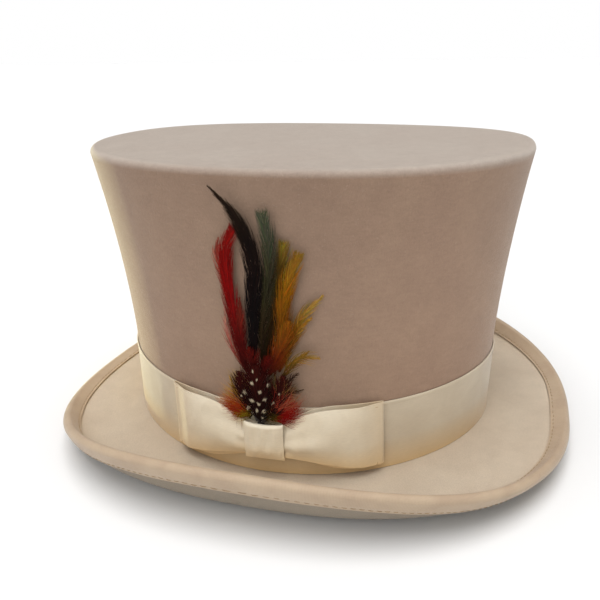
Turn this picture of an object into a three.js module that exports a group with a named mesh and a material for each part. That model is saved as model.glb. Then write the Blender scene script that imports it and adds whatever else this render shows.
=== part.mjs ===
// A felt top hat with a ribbon band, a flat bow and a pull-out feather mount.
//
// Millimetres, +Z up. The hat stands on its brim at z = 0, the centre of the
// brim's outline is over the origin, -Y is the wearer's front and +X the
// wearer's left, where the bow is. Angles run from +X towards +Y.

import * as THREE from "three";
import { LoftGeometry } from "three/addons/geometries/LoftGeometry.js";

// ---- crown ----
const HEAD_HALF_LENGTH = 104; // outside of the crown where it meets the brim
const HEAD_HALF_WIDTH = 85.5;
const CROWN_Y = -6.4; // the brim is wider behind the head than in front of it
const CROWN_ROOT_Z = 4.9;
const CROWN_TOP_Z = 158.3;
const FLARE_LENGTH = 15.9; // how much the half length grows up to the tip
const FLARE_WIDTH = 16.6;
const FLARE_POWER = 1.85;
const LEAN = 0.021; // mm towards the back for each mm of height
const TIP_EDGE_RADIUS = 3.2;
const TIP_SADDLE = 1; // the tip's edge dips this much at the sides
const TIP_FLAT_SHARE = 0.6; // inside this share of its radius the tip is flat
const TIP_SWELL = 0.15; // the felt is this much thicker on each face of the flat middle
const TIP_SQUARENESS = 0.25; // added to the ellipse's exponent at the tip
const FELT = 2.5;

// ---- brim ----
const BRIM_HALF_LENGTH = 143.2;
const BRIM_HALF_WIDTH = 132.5;
const BRIM_EXPONENT = 2.4; // a little squarer than an ellipse
const ROOT_Z = 4.47; // middle of the felt at the crown, and its dip at the sides
const ROOT_SADDLE = 3.21;
const LIP_Z = 20; // middle of the felt at the edge, and its rise at the sides
const LIP_SADDLE = 10.7;
const LIP_FLATTENING = 0.8;
const LIP_BUMP = { height: 2.2, angle: 68, width: 17 }; // hand-shaped lift, left rear
const CURL_POWER_SIDE = 4.6; // higher keeps the brim flat for longer, then curls harder
const CURL_POWER_FRONT = 10;
const COLLAR_HEIGHT = 11; // the brim's felt turned up inside the crown
const COLLAR = 2; // and pressed thinner there

// ---- trims ----
const GAP = 0.3;
const BINDING = 0.8;
const BINDING_GAP = 0.5; // between the ribbon and the felt it is folded over
const BINDING_WIDTH = 10;
const BINDING_STEP = 6; // where the strip's facets break, between its edge and the nose
const WIRE_RADIUS = 1;
const RIBBON = 0.7;
const BAND_HEIGHT = 38.7;
const BAND_FOOT = 2.1;
const LEATHER = 1.1;
const SWEATBAND_HEIGHT = 44;
const REED_RADIUS = 0.85;
const SATIN = 0.5;
const LINING_FOOT = 14;
const LINING_GAP = 0.9; // the lining hangs loosely inside the felt

// ---- bow ----
const KNOT = { from: -11.4, to: 8.3, low: 12.2, high: 32.2, back: 5.9, front: 9.2 };
const LOOP_END_LOW = 6.4;
const LOOP_END_HIGH = 40.4;
const LOOP_NECK_LOW = 13.6;
const LOOP_NECK_HIGH = 31;
const LOOP_RISE = 0.55; // share of its length over which a loop's upper edge rises
const LOOP_RISE_POWER = 2.2;

const AROUND = 48; // facets in a ring
const WIRE_SIDES = 6;

// ---------------------------------------------------------------- materials

function finish(color, roughness, metalness = 0) {
  return new THREE.MeshStandardMaterial({ color, roughness, metalness });
}

const felt = finish(0xd9c8b2, 0.95);
const ribbon = finish(0xe3d3b6, 0.5);
const bindingRibbon = finish(0xd0bd9c, 0.6);
const leather = finish(0xb98d62, 0.55);
const satin = finish(0xe8e0d2, 0.35);
const steel = finish(0x8a8c90, 0.35, 0.9);
const reedPlastic = finish(0xe6e2d8, 0.4);
const thread = finish(0x2a2420, 0.8);
const featherColours = {
  black: finish(0x231f1c, 0.5),
  red: finish(0xb3202a, 0.6),
  pink: finish(0xc4575c, 0.7),
  green: finish(0x5f7f70, 0.6),
  olive: finish(0x4b4a1e, 0.6),
  yellow: finish(0xd3a428, 0.6),
  orange: finish(0xb5632a, 0.6),
  spotted: finish(0x1f1517, 0.6),
};

// ------------------------------------------------------------------ shaping

// A point on an oval; exponent 2 is an ellipse and more is squarer.
function oval(angle, halfWidth, halfLength, exponent) {
  const c = Math.cos(angle);
  const s = Math.sin(angle);
  const x = halfWidth * Math.sign(c) * Math.abs(c) ** (2 / exponent);
  const y = halfLength * Math.sign(s) * Math.abs(s) ** (2 / exponent);
  return new THREE.Vector2(x, y);
}

function ringAngles() {
  return Array.from({ length: AROUND }, (_, i) => (i / AROUND) * 2 * Math.PI);
}

// Skins sections into one body. Each winds anticlockwise seen from the last one.
function loft(sections, capped) {
  return new LoftGeometry(sections, { capStart: capped, capEnd: capped });
}

// Sweeps sectionAt(angle) once round the hat. A section winds clockwise when
// outwards is drawn to the right and +Z upwards.
function ring(sectionAt) {
  const sections = ringAngles().map(sectionAt);
  return loft([...sections, sections[0]], false);
}

function piece(name, geometry, material) {
  const mesh = new THREE.Mesh(geometry, material);
  mesh.name = name;
  return mesh;
}

// -------------------------------------------------------------------- crown

// The crown's half width and half length, centre and squareness at height z.
function crownAt(z) {
  const rise = Math.max((z - CROWN_ROOT_Z) / (CROWN_TOP_Z - CROWN_ROOT_Z), 0);
  const flare = rise ** FLARE_POWER;
  return {
    halfWidth: HEAD_HALF_WIDTH + FLARE_WIDTH * flare,
    halfLength: HEAD_HALF_LENGTH + FLARE_LENGTH * flare,
    centreY: CROWN_Y + LEAN * (z - CROWN_ROOT_Z),
    exponent: 2 + TIP_SQUARENESS * rise * rise,
  };
}

// A point that stands proud of the crown's outside; a negative proud is inside it.
function wallPoint(angle, z, proud) {
  const c = crownAt(z);
  const plan = oval(angle, c.halfWidth + proud, c.halfLength + proud, c.exponent);
  return new THREE.Vector3(plan.x, plan.y + c.centreY, z);
}

// Height of the middle of the brim's felt where it meets the crown.
function rootZ(angle) {
  return ROOT_Z - ROOT_SADDLE * Math.cos(2 * angle);
}

function tipEdgeZ(angle) {
  return CROWN_TOP_Z - TIP_SADDLE * Math.cos(2 * angle);
}

// Rings up the wall, round the tip's edge and in to the flat middle of the tip.
function crownRings(inset, wallShares, edgeSteps, tipShares) {
  const radius = TIP_EDGE_RADIUS - inset;
  const angles = ringAngles();
  const wall = wallShares.map((share) =>
    angles.map((angle) => {
      const low = rootZ(angle) + FELT / 2 + GAP;
      const high = tipEdgeZ(angle) - TIP_EDGE_RADIUS;
      return wallPoint(angle, low + (high - low) * share, -inset);
    }),
  );
  const edge = Array.from({ length: edgeSteps }, (_, i) => {
    const turn = ((i + 1) / edgeSteps) * (Math.PI / 2);
    return angles.map((angle) => {
      const p = wallPoint(angle, tipEdgeZ(angle) - TIP_EDGE_RADIUS, 0);
      const inwards = TIP_EDGE_RADIUS - radius * Math.cos(turn);
      const q = wallPoint(angle, p.z, -inwards);
      return q.setZ(p.z + radius * Math.sin(turn));
    });
  });
  const outerRing = edge[edge.length - 1];
  const centre = new THREE.Vector3(0, crownAt(CROWN_TOP_Z).centreY, 0);
  const flatZ = CROWN_TOP_Z - inset + (inset > 0 ? -TIP_SWELL : TIP_SWELL);
  const tip = tipShares.map((share) => {
    const dip = THREE.MathUtils.smoothstep(share, TIP_FLAT_SHARE, 1);
    return outerRing.map((p) => {
      const q = centre.clone().lerp(p, share);
      return q.setZ(flatZ + (p.z - flatZ) * dip);
    });
  });
  return [...wall, ...edge, ...tip];
}

function feltCrown() {
  const outside = crownRings(0, [0, 0.14, 0.3, 0.46, 0.62, 0.77, 0.9, 1], 3, [0.85, TIP_FLAT_SHARE]);
  const inside = crownRings(FELT, [0, 0.3, 0.6, 0.85, 1], 2, [TIP_FLAT_SHARE]);
  return piece("felt_crown", loft([...inside.reverse(), ...outside], true), felt);
}

// --------------------------------------------------------------------- brim

function lipZ(angle) {
  const bumpAngle = THREE.MathUtils.degToRad(LIP_BUMP.angle);
  const away = (angle - bumpAngle) / THREE.MathUtils.degToRad(LIP_BUMP.width);
  const saddle = LIP_SADDLE * Math.cos(2 * angle) + LIP_FLATTENING * Math.cos(4 * angle);
  return LIP_Z + saddle + LIP_BUMP.height * Math.exp(-away * away);
}

// The middle of the felt: share 0 is at the crown and 1 at the outer edge.
function brimMiddle(angle, share) {
  const root = wallPoint(angle, CROWN_ROOT_Z, 0);
  const edge = oval(angle, BRIM_HALF_WIDTH, BRIM_HALF_LENGTH, BRIM_EXPONENT);
  const side = 0.5 + 0.5 * Math.cos(2 * angle);
  const power = THREE.MathUtils.lerp(CURL_POWER_FRONT, CURL_POWER_SIDE, side);
  const z = rootZ(angle) + (lipZ(angle) - rootZ(angle)) * share ** power;
  return new THREE.Vector3(
    THREE.MathUtils.lerp(root.x, edge.x, share),
    THREE.MathUtils.lerp(root.y, edge.y, share),
    z,
  );
}

// The middle point with the outward and upward directions of the section there.
function brimFrame(angle, share) {
  const step = 0.004;
  const before = brimMiddle(angle, Math.max(share - step, 0));
  const after = brimMiddle(angle, Math.min(share + step, 1));
  const along = after.sub(before).normalize();
  const run = Math.hypot(along.x, along.y);
  const up = new THREE.Vector3((-along.x * along.z) / run, (-along.y * along.z) / run, run);
  return { point: brimMiddle(angle, share), along, up };
}

function brimPoint(angle, share, above) {
  const { point, up } = brimFrame(angle, share);
  return point.addScaledVector(up, above);
}

// The share at which the edge is still the given distance away along the felt.
function shareFromEdge(angle, distance) {
  const step = 0.005;
  let share = 1;
  let gone = 0;
  let here = brimMiddle(angle, share);
  while (gone < distance) {
    const next = brimMiddle(angle, share - step);
    const length = next.distanceTo(here);
    if (gone + length >= distance) return share - (step * (distance - gone)) / length;
    gone += length;
    share -= step;
    here = next;
  }
  return share;
}

const BINDING_OUTSIDE = FELT / 2 + BINDING_GAP + BINDING;
const FELT_EDGE = BINDING_OUTSIDE + WIRE_RADIUS + 1.2 * GAP; // from the binding's nose

function feltBrim() {
  const half = FELT / 2;
  const section = (angle) => {
    const underStrip = shareFromEdge(angle, BINDING_WIDTH);
    const shares = [0.35, 0.62, 0.83, 1].map((share) => share * underStrip);
    shares.push(...[BINDING_STEP, FELT_EDGE].map((distance) => shareFromEdge(angle, distance)));
    const root = rootZ(angle);
    const collarTop = root + COLLAR_HEIGHT;
    const outer = -FELT - GAP;
    const inner = outer - COLLAR;
    return [
      wallPoint(angle, root - half, inner + 1.6),
      wallPoint(angle, root + 0.5, inner),
      wallPoint(angle, collarTop, inner),
      wallPoint(angle, collarTop, outer),
      wallPoint(angle, root + half, outer),
      ...shares.map((share) => brimPoint(angle, share, half)),
      ...shares.reverse().map((share) => brimPoint(angle, share, -half)),
    ];
  };
  return piece("felt_brim", ring(section), felt);
}

function brimBinding() {
  const section = (angle) => {
    const distances = [BINDING_WIDTH, BINDING_STEP, BINDING_OUTSIDE];
    const strip = (height) =>
      distances.map((distance) => brimPoint(angle, shareFromEdge(angle, distance), height));
    const { point, along, up } = brimFrame(angle, shareFromEdge(angle, BINDING_OUTSIDE));
    const nose = (radius) =>
      [45, 90, 135].map((degrees) => {
        const turn = THREE.MathUtils.degToRad(degrees);
        return point
          .clone()
          .addScaledVector(up, radius * Math.cos(turn))
          .addScaledVector(along, radius * Math.sin(turn));
      });
    const inside = BINDING_OUTSIDE - BINDING;
    return [
      ...strip(BINDING_OUTSIDE),
      ...nose(BINDING_OUTSIDE),
      ...strip(-BINDING_OUTSIDE).reverse(),
      ...strip(-inside),
      ...nose(inside).reverse(),
      ...strip(inside).reverse(),
    ];
  };
  return piece("brim_binding", ring(section), bindingRibbon);
}

// A round section of the given radius in the plane of two directions.
function roundSection(centre, radius, across, up) {
  return Array.from({ length: WIRE_SIDES }, (_, i) => {
    const turn = (i / WIRE_SIDES) * 2 * Math.PI;
    return centre
      .clone()
      .addScaledVector(across, radius * Math.sin(turn))
      .addScaledVector(up, radius * Math.cos(turn));
  });
}

function brimWire() {
  const section = (angle) => {
    const { point, along, up } = brimFrame(angle, shareFromEdge(angle, BINDING_OUTSIDE));
    return roundSection(point, WIRE_RADIUS, along, up);
  };
  return piece("brim_wire", ring(section), steel);
}

// ------------------------------------------------ band, sweatband and lining

// A strip that stands against the crown's wall all the way round.
function wallStrip(name, material, proud, thickness, lowAt, highAt, levels) {
  const section = (angle) => {
    const low = lowAt(angle);
    const high = highAt(angle);
    const heights = Array.from({ length: levels }, (_, i) => low + ((high - low) * i) / (levels - 1));
    const back = heights.map((z) => wallPoint(angle, z, proud));
    const face = heights.map((z) => wallPoint(angle, z, proud + thickness));
    return [...back, ...face.reverse()];
  };
  return piece(name, ring(section), material);
}

function hatBand() {
  const low = (angle) => rootZ(angle) + BAND_FOOT;
  const high = (angle) => rootZ(angle) + BAND_HEIGHT;
  return wallStrip("hat_band", ribbon, GAP, RIBBON, low, high, 3);
}

const SWEATBAND_PROUD = -FELT - COLLAR - 2.4 * GAP - LEATHER;

function sweatband() {
  const low = (angle) => rootZ(angle) + 1.9;
  const high = (angle) => rootZ(angle) + SWEATBAND_HEIGHT;
  return wallStrip("sweatband", leather, SWEATBAND_PROUD, LEATHER, low, high, 3);
}

function sweatbandReed() {
  const across = new THREE.Vector3();
  const up = new THREE.Vector3(0, 0, 1);
  const section = (angle) => {
    const centre = wallPoint(angle, rootZ(angle) + 0.6, SWEATBAND_PROUD + LEATHER / 2);
    across.set(Math.cos(angle), Math.sin(angle), 0);
    return roundSection(centre, REED_RADIUS, across, up);
  };
  return piece("sweatband_reed", ring(section), reedPlastic);
}

// The small ribbon bow that hides the sweatband's seam, inside at the back.
function sweatbandBow() {
  const halfWidth = 9;
  const halfHeight = 3.6;
  const waist = 1.2;
  const thickness = 1.1;
  const outline = new THREE.Shape();
  outline.moveTo(0, waist);
  outline.quadraticCurveTo(halfWidth * 0.6, halfHeight * 1.2, halfWidth, halfHeight);
  outline.lineTo(halfWidth * 0.92, -halfHeight);
  outline.quadraticCurveTo(halfWidth * 0.5, -halfHeight * 1.1, 0, -waist);
  outline.quadraticCurveTo(-halfWidth * 0.5, -halfHeight * 1.1, -halfWidth * 0.92, -halfHeight);
  outline.lineTo(-halfWidth, halfHeight);
  outline.quadraticCurveTo(-halfWidth * 0.6, halfHeight * 1.2, 0, waist);
  const options = { depth: thickness, bevelEnabled: false, curveSegments: 5 };
  const mesh = piece("sweatband_bow", new THREE.ExtrudeGeometry(outline, options), satin);
  const height = rootZ(Math.PI / 2) + 7;
  const wall = wallPoint(Math.PI / 2, height, SWEATBAND_PROUD);
  mesh.rotation.x = Math.PI / 2;
  mesh.position.set(0, wall.y - 4 * GAP, height);
  return mesh;
}

function liningSide() {
  const low = (angle) => rootZ(angle) + LINING_FOOT;
  const high = () => CROWN_TOP_Z - FELT - 2.3 - TIP_SADDLE;
  return wallStrip("lining_side", satin, -FELT - LINING_GAP - SATIN, SATIN, low, high, 4);
}

function liningTip() {
  const top = CROWN_TOP_Z - FELT - 1 - TIP_SADDLE;
  const disc = [top - SATIN, top].map((z) =>
    ringAngles().map((angle) => wallPoint(angle, z, -FELT - LINING_GAP)),
  );
  return piece("lining_tip", loft(disc, true), satin);
}

// ---------------------------------------------------------------------- bow

// A point on the wearer's left side, given by its y and z.
function sidePoint(y, z, proud) {
  const c = crownAt(z);
  const share = Math.abs((y - c.centreY) / (c.halfLength + proud));
  const x = (c.halfWidth + proud) * (1 - share ** c.exponent) ** (1 / c.exponent);
  return new THREE.Vector3(x, y, z);
}

// Height of the brim's root on the left side at y.
function sideRootZ(y) {
  const s = (y - CROWN_Y) / HEAD_HALF_LENGTH;
  return ROOT_Z - ROOT_SADDLE * (1 - 2 * s * s);
}

// A soft-cornered upright section between two heights and two distances from
// the wall, for a loft that runs towards -Y.
function bowSection(y, low, high, back, front) {
  const corners = [
    [-1, -0.5], [-1, 0.5], [-0.86, 1], [0.86, 1], [1, 0.5], [1, -0.5], [0.86, -1], [-0.86, -1],
  ];
  return corners.map(([up, out]) => {
    const z = (low + high) / 2 + (up * (high - low)) / 2;
    return sidePoint(y, sideRootZ(y) + z, (back + front) / 2 + (out * (front - back)) / 2);
  });
}

const BOW_BACK = GAP + RIBBON + GAP; // the bow lies on the hat band
const LOOP_BACK = BOW_BACK + RIBBON + GAP;

// A loop from the knot out to its folded end.
function bowLoop(name, neckY, endY) {
  const stations = 7;
  const sections = Array.from({ length: stations }, (_, i) => {
    const out = i / (stations - 1);
    const low = THREE.MathUtils.lerp(LOOP_NECK_LOW, LOOP_END_LOW, THREE.MathUtils.smoothstep(out, 0, 1));
    const rise = 1 - (1 - Math.min(out / LOOP_RISE, 1)) ** LOOP_RISE_POWER;
    const high = THREE.MathUtils.lerp(LOOP_NECK_HIGH, LOOP_END_HIGH, rise);
    const fullness = 2.4 + 3.4 * Math.sin(Math.PI * Math.min(out * 0.8 + 0.15, 1));
    const y = THREE.MathUtils.lerp(neckY, endY, out);
    return bowSection(y, low, high, LOOP_BACK, LOOP_BACK + fullness);
  });
  if (endY > neckY) sections.reverse();
  return piece(name, loft(sections, true), ribbon);
}

function bowBacking() {
  const stations = 9;
  const sections = Array.from({ length: stations }, (_, i) => {
    const y = THREE.MathUtils.lerp(52, -52, i / (stations - 1));
    const out = THREE.MathUtils.smoothstep(Math.abs(y), 8, 40);
    const low = THREE.MathUtils.lerp(11, 4.2, out);
    const high = THREE.MathUtils.lerp(28, 38, out);
    return bowSection(y, low, high, BOW_BACK, BOW_BACK + RIBBON);
  });
  return piece("bow_backing", loft(sections, true), ribbon);
}

function bowKnot() {
  const stations = 5;
  const sections = Array.from({ length: stations }, (_, i) => {
    const share = i / (stations - 1);
    const y = THREE.MathUtils.lerp(KNOT.to, KNOT.from, share);
    const front = KNOT.front - 1.6 * (2 * share - 1) ** 4;
    return bowSection(y, KNOT.low, KNOT.high, KNOT.back, front);
  });
  return piece("bow_knot", loft(sections, true), ribbon);
}

// ------------------------------------------------------------- feather mount

// The mount slides out along this direction: up, and outwards so that the
// long feathers clear the flaring wall.
const SLIDE = new THREE.Vector3(0.148, 0.02, 1).normalize();
const QUILL_TOP_Z = 57;

// Each blade runs from its base to its tip through [y, z] points on the wall.
// proud is the distance of its back from the wall, width its widest spread.
const blades = [
  {
    name: "feather_black", colour: "black", proud: 4.6, width: 6.4,
    path: [[-4.6, 58], [-4.4, 72], [-2.6, 93], [-0.6, 114], [-2.9, 129], [-7.6, 139], [-16.2, 149.3]],
  },
  {
    name: "feather_red_tall", colour: "red", proud: 3.3, width: 5.4,
    path: [[-7.8, 58], [-12, 74], [-13.6, 92], [-14.4, 109], [-13.2, 122], [-8.4, 131.5]],
  },
  {
    name: "feather_red_outer", colour: "red", proud: 2, width: 4.2,
    path: [[-15.6, 96], [-17.4, 108], [-18.8, 118], [-16.8, 125.6]],
  },
  {
    name: "feather_pink_wisp", colour: "pink", proud: 2, width: 3.6,
    path: [[-10.5, 59], [-15, 67], [-17.8, 76], [-18.6, 91]],
  },
  {
    name: "feather_red_short", colour: "red", proud: 4.6, width: 3.2,
    path: [[-9.4, 60], [-9.6, 72], [-9.4, 84], [-8.6, 98]],
  },
  {
    name: "feather_green", colour: "green", proud: 3.3, width: 6,
    path: [[-0.6, 58], [0.2, 82], [2.8, 97], [6.2, 114], [6.6, 128], [5.4, 139.3]],
  },
  {
    name: "feather_olive", colour: "olive", proud: 2, width: 7,
    path: [[-0.8, 58], [3.2, 78], [6.8, 94], [10.4, 110], [13.4, 125.5]],
  },
  {
    name: "feather_yellow_tall", colour: "yellow", proud: 3.3, width: 6,
    path: [[4.4, 58], [8.6, 76], [11.6, 97], [15.4, 110], [20.3, 120.8]],
  },
  {
    name: "feather_yellow_side", colour: "yellow", proud: 2, width: 5,
    path: [[6.8, 60], [12.6, 76], [18.8, 89], [29, 100]],
  },
  {
    name: "feather_yellow_low", colour: "yellow", proud: 4.6, width: 4.4,
    path: [[8.4, 58.5], [13, 66], [19, 69.5], [26.6, 69.4]],
  },
  {
    name: "feather_orange", colour: "orange", proud: 4.6, width: 5,
    path: [[2.2, 58], [6.4, 68], [10.4, 78], [14, 88]],
  },
  {
    name: "guinea_feather_left", colour: "spotted", proud: 5.9, width: 9,
    path: [[-8.2, 34.8], [-10, 43], [-11.6, 52], [-12.4, 60]],
  },
  {
    name: "guinea_feather_centre", colour: "spotted", proud: 7.2, width: 12,
    path: [[-2.6, 34.6], [-2.9, 43], [-3.1, 53], [-3.2, 65]],
  },
  {
    name: "guinea_feather_right", colour: "spotted", proud: 5.9, width: 9,
    path: [[3, 34.8], [5.2, 43], [7.8, 52], [10, 60]],
  },
  {
    name: "fluff_left", colour: "orange", proud: 4.2, width: 6.4,
    path: [[-13.6, 40.2], [-16.8, 42], [-20.4, 42.6], [-24.4, 42.4]],
  },
  {
    name: "fluff_right", colour: "red", proud: 4.2, width: 6.4,
    path: [[8.4, 40], [11.6, 41.2], [14.6, 43], [17.6, 46.2]],
  },
];
const BLADE_THICKNESS = 0.9;

// Widest a third of the way up, and nearly a point at the tip.
function bladeSpread(along) {
  return 0.16 + 0.84 * Math.sin(Math.PI * Math.min(along ** 0.62, 0.97)) ** 0.8;
}

function featherBlade({ name, colour, proud, width, path }) {
  const spine = new THREE.CatmullRomCurve3(path.map(([y, z]) => new THREE.Vector3(0, y, z)));
  const stations = 9;
  const outline = [[-1, 0], [-0.5, 1], [0.5, 1], [1, 0], [0.5, -1], [-0.5, -1]];
  const sections = Array.from({ length: stations }, (_, i) => {
    const along = i / (stations - 1);
    const middle = spine.getPoint(along);
    const heading = spine.getTangent(along);
    const spread = (width / 2) * bladeSpread(along);
    return outline.map(([side, out]) => {
      const y = middle.y + side * spread * heading.z;
      const z = middle.z - side * spread * heading.y;
      const off = proud + (BLADE_THICKNESS / 2) * (1 + out);
      return sidePoint(y, z, off);
    });
  });
  return piece(name, loft(sections, true), featherColours[colour]);
}

// The quills bound together under the feathers.
function quillBundle() {
  const sections = [
    [33.2, 3.4, 4.4],
    [40, 4.4, 3],
    [50, 4.6, 2.2],
    [QUILL_TOP_Z, 3.6, 2.2],
  ].map(([z, half, back]) => {
    const middle = -3.2;
    return [
      sidePoint(middle - half, z, back),
      sidePoint(middle - half, z, 5.4),
      sidePoint(middle + half, z, 5.4),
      sidePoint(middle + half, z, back),
    ];
  });
  return piece("feather_quill_bundle", loft(sections, true), thread);
}

// The flat stem that tucks in behind the knot; it lies along the slide.
function featherStem() {
  const topZ = 32.8;
  const length = 17;
  const halfWidth = 2;
  const halfThickness = 0.45;
  const top = sidePoint(-3.2, topZ, 4.9);
  const across = new THREE.Vector3(0, 1, 0);
  const out = new THREE.Vector3(1, 0, 0);
  const sections = [length, length - 1.5, 0].map((down, i) => {
    const half = i === 0 ? halfWidth / 2 : halfWidth;
    const centre = top.clone().addScaledVector(SLIDE, -down);
    return [[-1, -1], [-1, 1], [1, 1], [1, -1]].map(([side, face]) =>
      centre
        .clone()
        .addScaledVector(across, side * half)
        .addScaledVector(out, face * halfThickness),
    );
  });
  return piece("feather_stem", loft(sections, true), thread);
}

// ----------------------------------------------------------------- assembly

const hatBody = new THREE.Group();
hatBody.add(feltCrown(), feltBrim(), brimBinding(), brimWire());
hatBody.add(hatBand(), bowBacking(), bowKnot());
hatBody.add(bowLoop("bow_left_loop", KNOT.from - 0.5, -54), bowLoop("bow_right_loop", KNOT.to + 0.5, 53.4));
hatBody.add(sweatband(), sweatbandReed(), sweatbandBow());
hatBody.add(liningSide(), liningTip());

const featherMount = new THREE.Group();
featherMount.add(featherStem(), quillBundle(), ...blades.map(featherBlade));

const topHat = new THREE.Group();
topHat.add(hatBody, featherMount);

export default topHat;
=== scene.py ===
"""A felt top hat with its ribbon band, flat bow and feather mount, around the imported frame."""

import math

import bmesh
import bpy
import numpy as np
from mathutils import Matrix, Vector

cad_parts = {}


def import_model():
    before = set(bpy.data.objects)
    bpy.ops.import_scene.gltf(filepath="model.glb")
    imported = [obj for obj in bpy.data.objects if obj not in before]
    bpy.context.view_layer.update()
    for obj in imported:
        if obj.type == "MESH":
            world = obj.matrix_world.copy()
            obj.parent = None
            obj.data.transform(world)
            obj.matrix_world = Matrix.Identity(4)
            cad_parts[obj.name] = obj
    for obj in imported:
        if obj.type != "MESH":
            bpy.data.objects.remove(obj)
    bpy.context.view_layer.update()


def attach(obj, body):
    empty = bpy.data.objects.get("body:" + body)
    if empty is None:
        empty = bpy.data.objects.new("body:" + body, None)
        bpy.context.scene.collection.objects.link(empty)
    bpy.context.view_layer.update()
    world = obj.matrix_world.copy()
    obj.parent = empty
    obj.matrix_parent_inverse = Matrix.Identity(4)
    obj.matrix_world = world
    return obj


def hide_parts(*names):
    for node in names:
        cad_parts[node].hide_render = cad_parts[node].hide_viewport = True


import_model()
rng = np.random.default_rng(11)

# The hat's lengths are millimetres in the frame's axes until add_piece() scales them. Looks,
# flat sizes of cloth, the floor and the lamps are in metres.
MM = 0.001
HAT = "hat_body"
MOUNT = "feather_mount"

# ---- the hat's shape, as the frame has it ----
HEAD_HALF_LENGTH, HEAD_HALF_WIDTH = 104, 85.5
CROWN_Y, LEAN = -6.4, 0.021
CROWN_ROOT_Z, CROWN_TOP_Z = 4.9, 158.3
FLARE_LENGTH, FLARE_WIDTH, FLARE_POWER = 15.9, 16.6, 1.85
TIP_EDGE_RADIUS, TIP_SADDLE, TIP_SQUARENESS = 3.2, 1, 0.25
FELT = 2.5
BRIM_HALF_LENGTH, BRIM_HALF_WIDTH, BRIM_EXPONENT = 143.2, 132.5, 2.4
ROOT_Z, ROOT_SADDLE = 4.47, 3.21
LIP_Z, LIP_SADDLE, LIP_FLATTENING = 20, 10.7, 0.8
BUMP_HEIGHT, BUMP_ANGLE, BUMP_WIDTH = 2.2, math.radians(68), math.radians(17)
CURL_POWER_SIDE, CURL_POWER_FRONT = 4.6, 10
COLLAR_HEIGHT, COLLAR = 11, 2
GAP = 0.3
BINDING, BINDING_GAP, BINDING_WIDTH = 0.8, 0.5, 10
BINDING_MIDDLE = FELT / 2 + BINDING_GAP + BINDING / 2
BINDING_OUTSIDE = BINDING_MIDDLE + BINDING / 2
FELT_EDGE = BINDING_OUTSIDE + 1.36
BAND_FOOT, BAND_HEIGHT = 2.1, 38.7
SLIDE = np.array([0.148, 0.02, 1]) / np.linalg.norm([0.148, 0.02, 1])

AROUND = 360


def smooth(x, start, end):
    t = np.clip((x - start) / (end - start), 0, 1)
    return t * t * (3 - 2 * t)


def mix(a, b, share):
    return a + (b - a) * share


def crown_at(z):
    rise = np.maximum((z - CROWN_ROOT_Z) / (CROWN_TOP_Z - CROWN_ROOT_Z), 0)
    flare = rise**FLARE_POWER
    half_width = HEAD_HALF_WIDTH + FLARE_WIDTH * flare
    half_length = HEAD_HALF_LENGTH + FLARE_LENGTH * flare
    centre_y = CROWN_Y + LEAN * (z - CROWN_ROOT_Z)
    return half_width, half_length, centre_y, 2 + TIP_SQUARENESS * rise * rise


def oval(angle, half_width, half_length, exponent):
    c, s = np.cos(angle), np.sin(angle)
    x = half_width * np.sign(c) * np.abs(c) ** (2 / exponent)
    y = half_length * np.sign(s) * np.abs(s) ** (2 / exponent)
    return x, y


def wall_point(angle, z, proud):
    angle, z, proud = np.broadcast_arrays(angle, z, proud)
    half_width, half_length, centre_y, exponent = crown_at(z)
    x, y = oval(angle, half_width + proud, half_length + proud, exponent)
    return np.stack([x, y + centre_y, z], -1)


def side_point(y, z, proud):
    """A point on the wearer's left side of the crown."""
    half_width, half_length, centre_y, exponent = crown_at(z)
    share = np.abs((y - centre_y) / (half_length + proud))
    x = (half_width + proud) * (1 - share**exponent) ** (1 / exponent)
    return np.stack(np.broadcast_arrays(x, y, z), -1)


def side_root_z(y):
    s = (y - CROWN_Y) / HEAD_HALF_LENGTH
    return ROOT_Z - ROOT_SADDLE * (1 - 2 * s * s)


def root_z(angle):
    return ROOT_Z - ROOT_SADDLE * np.cos(2 * angle)


def tip_edge_z(angle):
    return CROWN_TOP_Z - TIP_SADDLE * np.cos(2 * angle)


def lip_z(angle):
    away = (angle - BUMP_ANGLE) / BUMP_WIDTH
    saddle = LIP_SADDLE * np.cos(2 * angle) + LIP_FLATTENING * np.cos(4 * angle)
    return LIP_Z + saddle + BUMP_HEIGHT * np.exp(-away * away)


def brim_middle(angle, share):
    angle, share = np.broadcast_arrays(angle, share)
    root = wall_point(angle, np.full(angle.shape, float(CROWN_ROOT_Z)), 0)
    edge_x, edge_y = oval(angle, BRIM_HALF_WIDTH, BRIM_HALF_LENGTH, BRIM_EXPONENT)
    power = mix(CURL_POWER_FRONT, CURL_POWER_SIDE, 0.5 + 0.5 * np.cos(2 * angle))
    z = root_z(angle) + (lip_z(angle) - root_z(angle)) * np.abs(share) ** power
    return np.stack([mix(root[..., 0], edge_x, share), mix(root[..., 1], edge_y, share), z], -1)


def brim_frame(angle, share):
    step = 0.004
    before = brim_middle(angle, np.maximum(share - step, 0))
    after = brim_middle(angle, np.minimum(share + step, 1))
    along = after - before
    along /= np.linalg.norm(along, axis=-1, keepdims=True)
    run = np.hypot(along[..., 0], along[..., 1])
    up_x, up_y = -along[..., 0] * along[..., 2] / run, -along[..., 1] * along[..., 2] / run
    up = np.stack([up_x, up_y, run], -1)
    return brim_middle(angle, share), along, up


def brim_point(angle, share, above):
    point, _, up = brim_frame(angle, share)
    return point + up * np.broadcast_to(above, point.shape[:-1])[..., None]


def share_from_edge(angle, distance):
    """The share at which the edge is that far away along the felt; both are flat arrays."""
    shares = np.linspace(1, 0.72, 57)
    lines = brim_middle(angle[:, None], shares[None, :])
    steps = np.linalg.norm(np.diff(lines, axis=1), axis=-1)
    gone = np.concatenate([np.zeros((len(angle), 1)), np.cumsum(steps, 1)], 1)
    return np.array([np.interp(d, g, shares) for d, g in zip(distance, gone)])


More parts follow.
